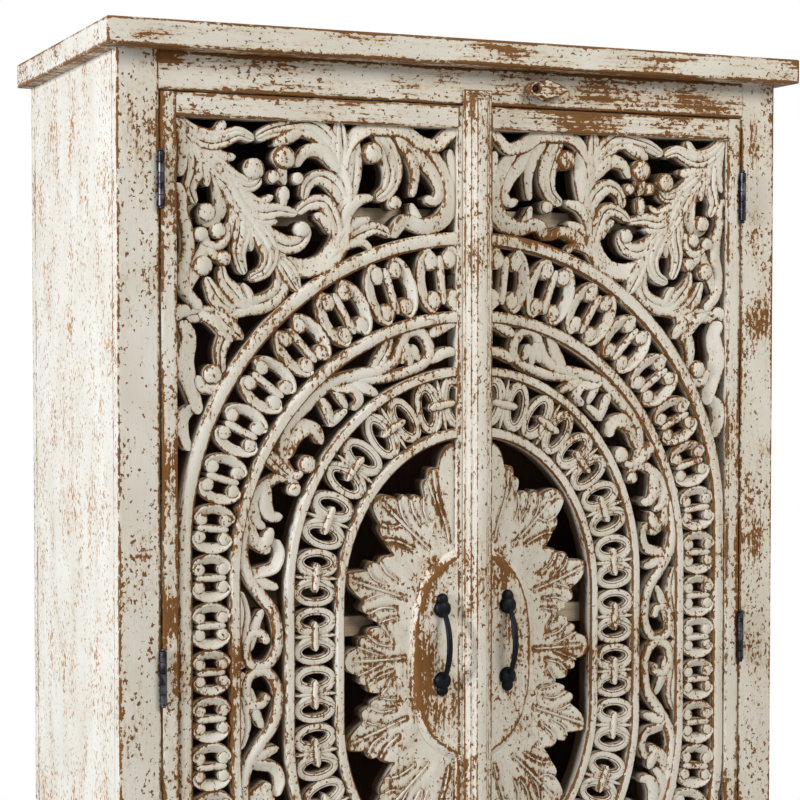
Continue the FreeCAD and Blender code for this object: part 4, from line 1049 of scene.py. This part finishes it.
def inner_edge(rib):
    """Half width, rise and springing of a rib's inner edge."""
    half_wide, rise, spring, side_width, crown_width = rib
    return half_wide - side_width, rise - crown_width, spring


def make_carving(side, name):
    """The pierced panel of one door: foliage, vine, ribs, medallion, scrolls and chain."""
    body = name + "_door"
    foliage = []
    for up in (1, -1):
        foliage += strokes(CORNER + DROPS, side, up, depth=6.2, dip=2.2)
        foliage += berries(BERRIES, side, up, depth=6.0, rise=5.5)
    first = piece("corner_foliage_" + name, foliage, PAINT_CARVING, body,
                  ["carved_panel_" + name])
    smooth_shade(first)
    vine = []
    for up in (1, -1):
        vine += strokes(VINE, side, up, depth=6.4, dip=1.8)
        vine += berries(VINE_BERRIES, side, up, depth=6.0, rise=4.5)
    smooth_shade(piece("scrolling_vine_" + name, vine, PAINT_CARVING, body))
    smooth_shade(piece("arched_ribs_" + name, ribs(side), PAINT_CARVING, body), 28)
    smooth_shade(piece("leaf_medallion_" + name, medallion_parts(side), PAINT_CARVING, body), 40)
    links = band_plan(side, inner_edge(RIBS[0]), RIBS[1][:3], count=21, growth=0.30,
                      unit_across=2.78, unit_along=6.5)
    smooth_shade(repeated("linked_scrolls_" + name, link_motif(), links, body))
    chain = band_plan(side, inner_edge(RIBS[2]), RIBS[3][:3], count=12, growth=0.0,
                      unit_across=2.8, unit_along=8.25)
    smooth_shade(repeated("ring_chain_" + name, chain_motif(), chain, body))


def make_door_frame(side, name):
    """Stiles that run through and rails between them, at the panel's full width."""
    body = name + "_door"
    for part, grain in (("hinge_stile", "Z"), ("meeting_stile", "Z"), ("top_rail", "X"),
                        ("bottom_rail", "X")):
        low, high = box_mm("door_%s_%s" % (part, name))
        if grain == "X":
            low[0], high[0] = sorted((side * PANEL_INNER[side], side * PANEL_OUTER))
        made = piece("door_%s_board_%s" % (part, name), [board(low, high, 1.2, 6.0, "XYZ".index(grain))],
                     PAINT_UPRIGHT if grain == "Z" else PAINT_LEVEL, body,
                     ["door_%s_%s" % (part, name)])
        smooth_shade(made)


def make_cover_strip():
    """A stepped strip with mitred returns at both ends; each loop is (inset, rise, arris)."""
    low, high = box_mm("cover_strip")
    loops = [(0, 0.6, 0.2), (0, 4.8, 0.6), (0.9, 5.9, 1.3), (2.4, 6.3, 0.1), (3.0, 6.4, 0.3),
             (6.4, 10.8, 0.1), (7.2, 11.9, 1.4), (8.8, 12.4, 0.1), (9.6, 12.5, 0.5), (12.6, 17.6, 0.1),
             (13.4, 19.2, 1.4), (15.0, 19.8, 0.1)]
    points, arris = [], []
    for inset, rise, bare in loops:
        left, right = low[0] + inset, high[0] - inset
        bottom, top = low[2] + inset, high[2] - inset
        for x, z in ((left, bottom), (right, bottom), (right, top), (left, top)):
            points.append((x, DOOR_FRONT - rise, z))
            arris.append(bare)
    made = piece("stepped_cover_strip", [skin(points, 4, arris)], PAINT_UPRIGHT, "right_door",
                 ["cover_strip"])
    smooth_shade(made, 25)


def lathe(x, y, z, rings, sides=24, axis="y"):
    """A turned form about an axis through (x, y, z); rings are (radius, place along it)."""
    points = []
    for radius, along in rings:
        for c, s in circle(sides):
            a, b = radius * c, radius * s
            points.append((x + a, y + along, z + b) if axis == "y" else (x + a, y + b, z + along))
    return skin(points, sides)


# Pulls: the rings of a boss and of its outer lobe as (radius, place in front of the door), the
# lobe's distance from the boss, a bolt's radius, how deep the grip's ends and front lie, and the
# grip's half thickness, its loss towards the ends and its flatness from front to back
BOSS = [(12.6, 0), (12.5, -2.4), (11.6, -5.2), (9.4, -8.0), (6.0, -9.8), (1, -10.4)]
LOBE = [(8.6, 0), (8.5, -2.0), (7.6, -4.6), (5.2, -6.6), (1, -7.4)]
LOBE_STEP = 13.0
BOLT_RADIUS = 5.5
GRIP_ROOT = 3.5
GRIP_FRONT = 4.3
GRIP_THICK = 4.2
GRIP_TAPER = 0.8
GRIP_FLAT = 0.92
GRIP_STATIONS = 33
GRIP_SIDES = 16


def make_pull(name):
    """A forged pull: two lobed bosses and a bowed grip that swells in its middle."""
    low, high = box_mm("pull_" + name)
    bolt_low, bolt_high = box_mm("pull_bolts_" + name)
    x = (low[0] + high[0]) / 2
    seat = high[1]
    lower, upper = bolt_low[2] + BOLT_RADIUS, bolt_high[2] - BOLT_RADIUS
    parts = []
    for z, way in ((lower, -1), (upper, 1)):
        parts.append(lathe(x, seat, z, BOSS))
        parts.append(lathe(x, seat, z + way * LOBE_STEP, LOBE))
    half = (upper - lower) / 2
    rise = (seat - GRIP_ROOT) - (low[1] + GRIP_FRONT)
    radius = (half ** 2 + rise ** 2) / (2 * rise)
    swing = math.asin(half / radius)
    centre_y = seat - GRIP_ROOT - rise + radius
    points = []
    for share in np.linspace(-1, 1, GRIP_STATIONS):
        thick = GRIP_THICK - GRIP_TAPER * share ** 2
        for c, s in circle(GRIP_SIDES):
            out = radius + thick * GRIP_FLAT * s
            points.append((x + thick * c, centre_y - out * math.cos(swing * share),
                           (lower + upper) / 2 + out * math.sin(swing * share)))
    parts.append(skin(points, GRIP_SIDES))
    made = piece("forged_pull_" + name, parts, IRON, name + "_door", ["pull_" + name])
    smooth_shade(made, 50)
    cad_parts["pull_bolts_" + name].data.materials.clear()
    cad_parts["pull_bolts_" + name].data.materials.append(IRON)


# Faces of the posts and of the doors' edges, from the middle, where the hinges' leaves lie
POST_FACE = 444.0
DOOR_EDGE = 441.4
# Hinges: half their height, thickness of a leaf, how far behind the pin the leaf starts and the
# knuckles' tabs end, gap between knuckles, and a knuckle's radius
HINGE_HALF = 35.0
HINGE_LEAF = 1.1
LEAF_START = 5.4
TAB_END = 6
KNUCKLE_GAP = 0.5
KNUCKLE = 4.6
# A pin's ball tip: radius and place beyond the leaves' end
BALL_TIP = [(1.2, 4), (2.4, 3.6), (3.1, 2.4), (3.1, 1.4), (2.2, 0.2), (2.0, -0.2)]


def make_hinges(side, name):
    """Butt hinges of five knuckles on a ball-tipped pin."""
    leaf_back = box_mm("hinge_frame_leaves_" + name)[1][1]
    pin_low, pin_high = box_mm("hinge_pins_" + name)
    x = (pin_low[0] + pin_high[0]) / 2
    y = (pin_low[1] + pin_high[1]) / 2
    reach = HINGE_HALF + BALL_TIP[0][1]
    pin = [(radius, -HINGE_HALF - beyond) for radius, beyond in BALL_TIP]
    pin += [(radius, HINGE_HALF + beyond) for radius, beyond in BALL_TIP[::-1]]
    pitch = (2 * HINGE_HALF + KNUCKLE_GAP) / 5
    tall = pitch - KNUCKLE_GAP
    knuckle = [(KNUCKLE - 0.5, 0), (KNUCKLE, 0.5), (KNUCKLE, tall - 0.5), (KNUCKLE - 0.5, tall)]
    spans = {"frame": sorted((side * POST_FACE, side * (POST_FACE - HINGE_LEAF))),
             "door": sorted((side * DOOR_EDGE, side * (DOOR_EDGE + HINGE_LEAF)))}
    leaves = {"frame": [], "door": []}
    pins = []
    for z in (pin_low[2] + reach, (pin_low[2] + pin_high[2]) / 2, pin_high[2] - reach):
        for number in range(5):
            owner = "door" if number % 2 else "frame"
            left, right = spans[owner]
            low = z - HINGE_HALF + number * pitch
            leaves[owner].append(lathe(x, y, low, knuckle, 20, "z"))
            leaves[owner].append(board((left, y, low), (right, y + TAB_END, low + tall), 0.3, 0.5))
        for owner, (left, right) in spans.items():
            leaves[owner].append(board((left, y + LEAF_START, z - HINGE_HALF),
                                       (right, leaf_back, z + HINGE_HALF), 0.3, 0.5))
        pins.append(lathe(x, y, z, pin, 16, "z"))
    smooth_shade(piece("hinge_leaves_on_frame_" + name, leaves["frame"], STEEL, "cabinet",
                       ["hinge_frame_leaves_" + name]), 40)
    smooth_shade(piece("hinge_leaves_on_door_" + name, leaves["door"], STEEL, name + "_door",
                       ["hinge_door_leaves_" + name]), 40)
    smooth_shade(piece("hinge_pins_ball_tipped_" + name, pins, STEEL, "cabinet",
                       ["hinge_pins_" + name]), 40)


# Turn button, drawn round its screw: the head's radius, one side of the spear and its tip, the
# place that the outline shrinks towards, and the rings of the countersink and the screw
BUTTON_HEAD = 10.2
SPEAR = [(9.5, 9.3), (12.4, 12.2), (15.0, 13.8), (20, 13.0), (28, 10.8), (36, 8.6), (44, 5.0), (49.5, 1.6)]
SPEAR_TIP = (52, 0)
BUTTON_MIDDLE = 16.0
COUNTERSINK = [(9.2, 0), (8.0, 1.2), (4.6, 6.4), (4.3, 12.0)]
SCREW = [(1.0, -0.2), (3.0, 0.0), (3.6, 0.9), (3.6, 4.0), (2.5, 4.0), (2.5, 18.0)]


def make_turn_button():
    """Spear-shaped wooden button with a dished head round its screw."""
    low, high = box_mm("turn_button")
    x = low[0] + BUTTON_HEAD
    z = (low[2] + high[2]) / 2
    depth = high[1] - low[1]
    turns = [math.radians(62 + number * 236 / 16) for number in range(17)]
    outline = [(BUTTON_HEAD * math.cos(turn), BUTTON_HEAD * math.sin(turn)) for turn in turns]
    outline += [(a, -b) for a, b in SPEAR] + [SPEAR_TIP] + SPEAR[::-1]
    rows = [(1.0, 0.0, 0.6), (1.0, depth * 0.75, 0.3), (0.985, depth * 0.93, 1.0), (0.93, depth, 0.5),
            (0.80, depth, 0.0)]
    points, arris = [], []
    for share, rise, bare in rows:
        for a, b in outline:
            reach = BUTTON_MIDDLE + (a - BUTTON_MIDDLE) * share
            points.append((x + reach, high[1] - rise, z + b * share))
            arris.append(bare)
    body = skin(points, len(outline), arris)
    made = piece("spear_turn_button", [body], PAINT_LEVEL, "turn_button", ["turn_button"])
    smooth_shade(made, 30)
    cut = piece("button_countersink", [lathe(x, low[1] - 1, z, COUNTERSINK, 32)], PAINT_LEVEL, None)
    modifier = made.modifiers.new("countersink", "BOOLEAN")
    modifier.object = cut
    modifier.solver = "EXACT"
    ready = made.evaluated_get(bpy.context.evaluated_depsgraph_get())
    result = bpy.data.meshes.new_from_object(ready)
    made.modifiers.clear()
    made.data = result
    bpy.data.objects.remove(cut)
    head = lathe(x, low[1] + 6.0, z, SCREW, 20)
    smooth_shade(piece("button_wood_screw", [head], IRON, "cabinet",
                       ["turn_button_screw"]), 40)


# The case

# Each side's two planks run this far into each other, so that no light shows between them
SIDE_LAP = 0.3
BEARER_HEIGHT = 30


def make_case():
    """Dresses the boards: (solid, name, material, eased edge, reach of the worn arris)."""
    plans = [
        ("top_slab", "slab_board", PAINT_LEVEL, 2.4, 5.0),
        ("face_top_rail", "top_rail_board", PAINT_LEVEL, 1.2, 5.0),
        ("face_bottom_rail", "bottom_rail_board", PAINT_LEVEL, 1.2, 7.0),
        ("bottom_board", "floor_board", WOOD_LEVEL, 1.2, 6.0),
    ]
    for name in ("left", "right"):
        plans += [("face_post_" + name, "front_post_" + name, PAINT_UPRIGHT, 1.8, 4.5),
                  ("rear_post_" + name, "back_post_" + name, PAINT_UPRIGHT, 1.8, 4.5),
                  ("side_board_front_" + name, "side_plank_front_" + name, PAINT_SIDE_PAINTED_LIGHT, 0.3, 2.0),
                  ("side_board_rear_" + name, "side_plank_rear_" + name, PAINT_SIDE_PAINTED_LIGHT, 0.3, 2.0)]
    for number, height in enumerate(("upper", "middle", "lower"), 1):
        plans.append(("shelf_%d" % number, height + "_shelf", WOOD_LIMED, 1.8, 6.0))
    plans += [("back_board_%d" % n, "back_plank_%d" % n, WOOD_UPRIGHT, 0.8, 5.0) for n in range(1, 6)]
    for node, name, material, edge, reach in plans:
        low, high = box_mm(node)
        if node.startswith("face_") and node.endswith("_rail"):
            low[0], high[0] = -POST_FACE, POST_FACE
        if node.startswith("side_board_front"):
            high[1] += SIDE_LAP
        if node.startswith("side_board_rear"):
            low[1] -= SIDE_LAP
        level = material in (PAINT_LEVEL, WOOD_LEVEL, WOOD_LIMED)
        length = None if node == "top_slab" else 0 if level else 2
        worn_share = 0.35 if material is PAINT_SIDE_PAINTED_LIGHT else 1.0
        plank = board(low, high, edge, reach, length, worn_share, 0.6 if node == "top_slab" else 0.0)
        smooth_shade(piece(name, [plank], material, "cabinet", [node]))
    for name in ("left", "right"):
        low, high = box_mm("shelf_cleats_" + name)
        bottoms = [box_mm(node)[0][2] for node in ("shelf_1", "shelf_2", "shelf_3", "bottom_board")]
        bars = [board((low[0], low[1], z - BEARER_HEIGHT), (high[0], high[1], z), 1.2, 5.0)
                for z in bottoms]
        smooth_shade(piece("shelf_bearers_" + name, bars, WOOD_DEEP, "cabinet",
                           ["shelf_cleats_" + name]))


make_case()
for side, name in SIDES:
    make_door_frame(side, name)
    make_carving(side, name)
    make_pull(name)
    make_hinges(side, name)
make_cover_strip()
make_turn_button()


# Floor, light and camera

def area_light(name, place, aim, size, power, tint):
    """A rectangular lamp turned to its aim."""
    data = bpy.data.lights.new(name, "AREA")
    data.shape = "RECTANGLE"
    data.size, data.size_y = size
    data.energy = power
    data.color = tint
    lamp = bpy.data.objects.new(name, data)
    lamp.location = place
    lamp.rotation_euler = (Vector(aim) - Vector(place)).to_track_quat("-Z", "Y").to_euler()
    bpy.context.scene.collection.objects.link(lamp)


# Half the floor's width in metres; the floor fades to nothing before its edge
FLOOR_REACH = 2.4


def make_floor():
    """A pale matt floor under the cabinet."""
    mesh = bpy.data.meshes.new("studio_floor")
    mesh.from_pydata([(-FLOOR_REACH, -FLOOR_REACH, 0), (FLOOR_REACH, -FLOOR_REACH, 0),
                      (FLOOR_REACH, FLOOR_REACH, 0), (-FLOOR_REACH, FLOOR_REACH, 0)], [], [(0, 1, 2, 3)])
    floor = bpy.data.objects.new("studio_floor", mesh)
    bpy.context.scene.collection.objects.link(floor)
    material, tree = blank_material("matt_pale_floor")
    place = add(tree, "ShaderNodeTexCoord").outputs["Object"]
    reach = add(tree, "ShaderNodeVectorMath", {0: place}, operation="LENGTH").outputs["Value"]
    fade = add(tree, "ShaderNodeMapRange", {"Value": reach, "From Min": FLOOR_REACH * 0.45,
                                            "From Max": FLOOR_REACH * 0.98}, interpolation_type="SMOOTHSTEP")
    floor_paint = add(tree, "ShaderNodeBsdfPrincipled", {"Base Color": linear("F0F0EE"), "Roughness": 0.9})
    clear = add(tree, "ShaderNodeBsdfTransparent")
    mixed = add(tree, "ShaderNodeMixShader", {0: fade.outputs[0], 1: floor_paint.outputs[0],
                                              2: clear.outputs[0]})
    add(tree, "ShaderNodeOutputMaterial", {"Surface": mixed.outputs[0]})
    mesh.materials.append(material)


def make_world():
    """A white room to the camera and to reflections, and a dim one as a light."""
    world = bpy.data.worlds.new("white_studio")
    bpy.context.scene.world = world
    world.use_nodes = True
    tree = world.node_tree
    tree.nodes.clear()
    path = add(tree, "ShaderNodeLightPath")
    seen = add(tree, "ShaderNodeMath", {0: path.outputs["Is Camera Ray"], 1: path.outputs["Is Glossy Ray"]},
               operation="MAXIMUM")
    seen = add(tree, "ShaderNodeMath", {0: seen.outputs[0], 1: path.outputs["Is Transmission Ray"]},
               operation="MAXIMUM")
    room = add(tree, "ShaderNodeBackground", {"Color": linear("F2F4F8"), "Strength": 0.26})
    white = add(tree, "ShaderNodeBackground", {"Color": (1, 1, 1, 1), "Strength": 1.0})
    mixed = add(tree, "ShaderNodeMixShader", {0: seen.outputs[0], 1: room.outputs[0], 2: white.outputs[0]})
    add(tree, "ShaderNodeOutputWorld", {"Surface": mixed.outputs[0]})


def make_camera():
    """The photograph's own point of view."""
    data = bpy.data.cameras.new("photo_camera")
    data.lens = LENS
    data.sensor_width = SENSOR
    data.shift_y = SHIFT_UP
    data.clip_end = FAR_CLIP
    camera = bpy.data.objects.new("photo_camera", data)
    camera.location = [value * MM for value in CAMERA_PLACE]
    camera.rotation_euler = (math.pi / 2 - CAMERA_TILT, CAMERA_ROLL, -CAMERA_TURN)
    bpy.context.scene.collection.objects.link(camera)
    bpy.context.scene.camera = camera


# Lamps: place, aim and size in metres, power in watts, tint
LAMPS = {
    "strong_side_light": ((-4.0, -0.95, 2.1), (-0.5, 0, 1.2), (1.2, 1.2), 182, (0.82, 0.88, 1.0)),
    "high_front_light": ((1.3, -3.4, 3.5), (0, 0, 1.2), (1.6, 1.6), 102, (1.0, 0.98, 0.94)),
}

make_floor()
make_world()
for lamp_name, lamp_settings in LAMPS.items():
    area_light(lamp_name, *lamp_settings)
make_camera()
bpy.context.scene.view_settings.view_transform = "Standard"
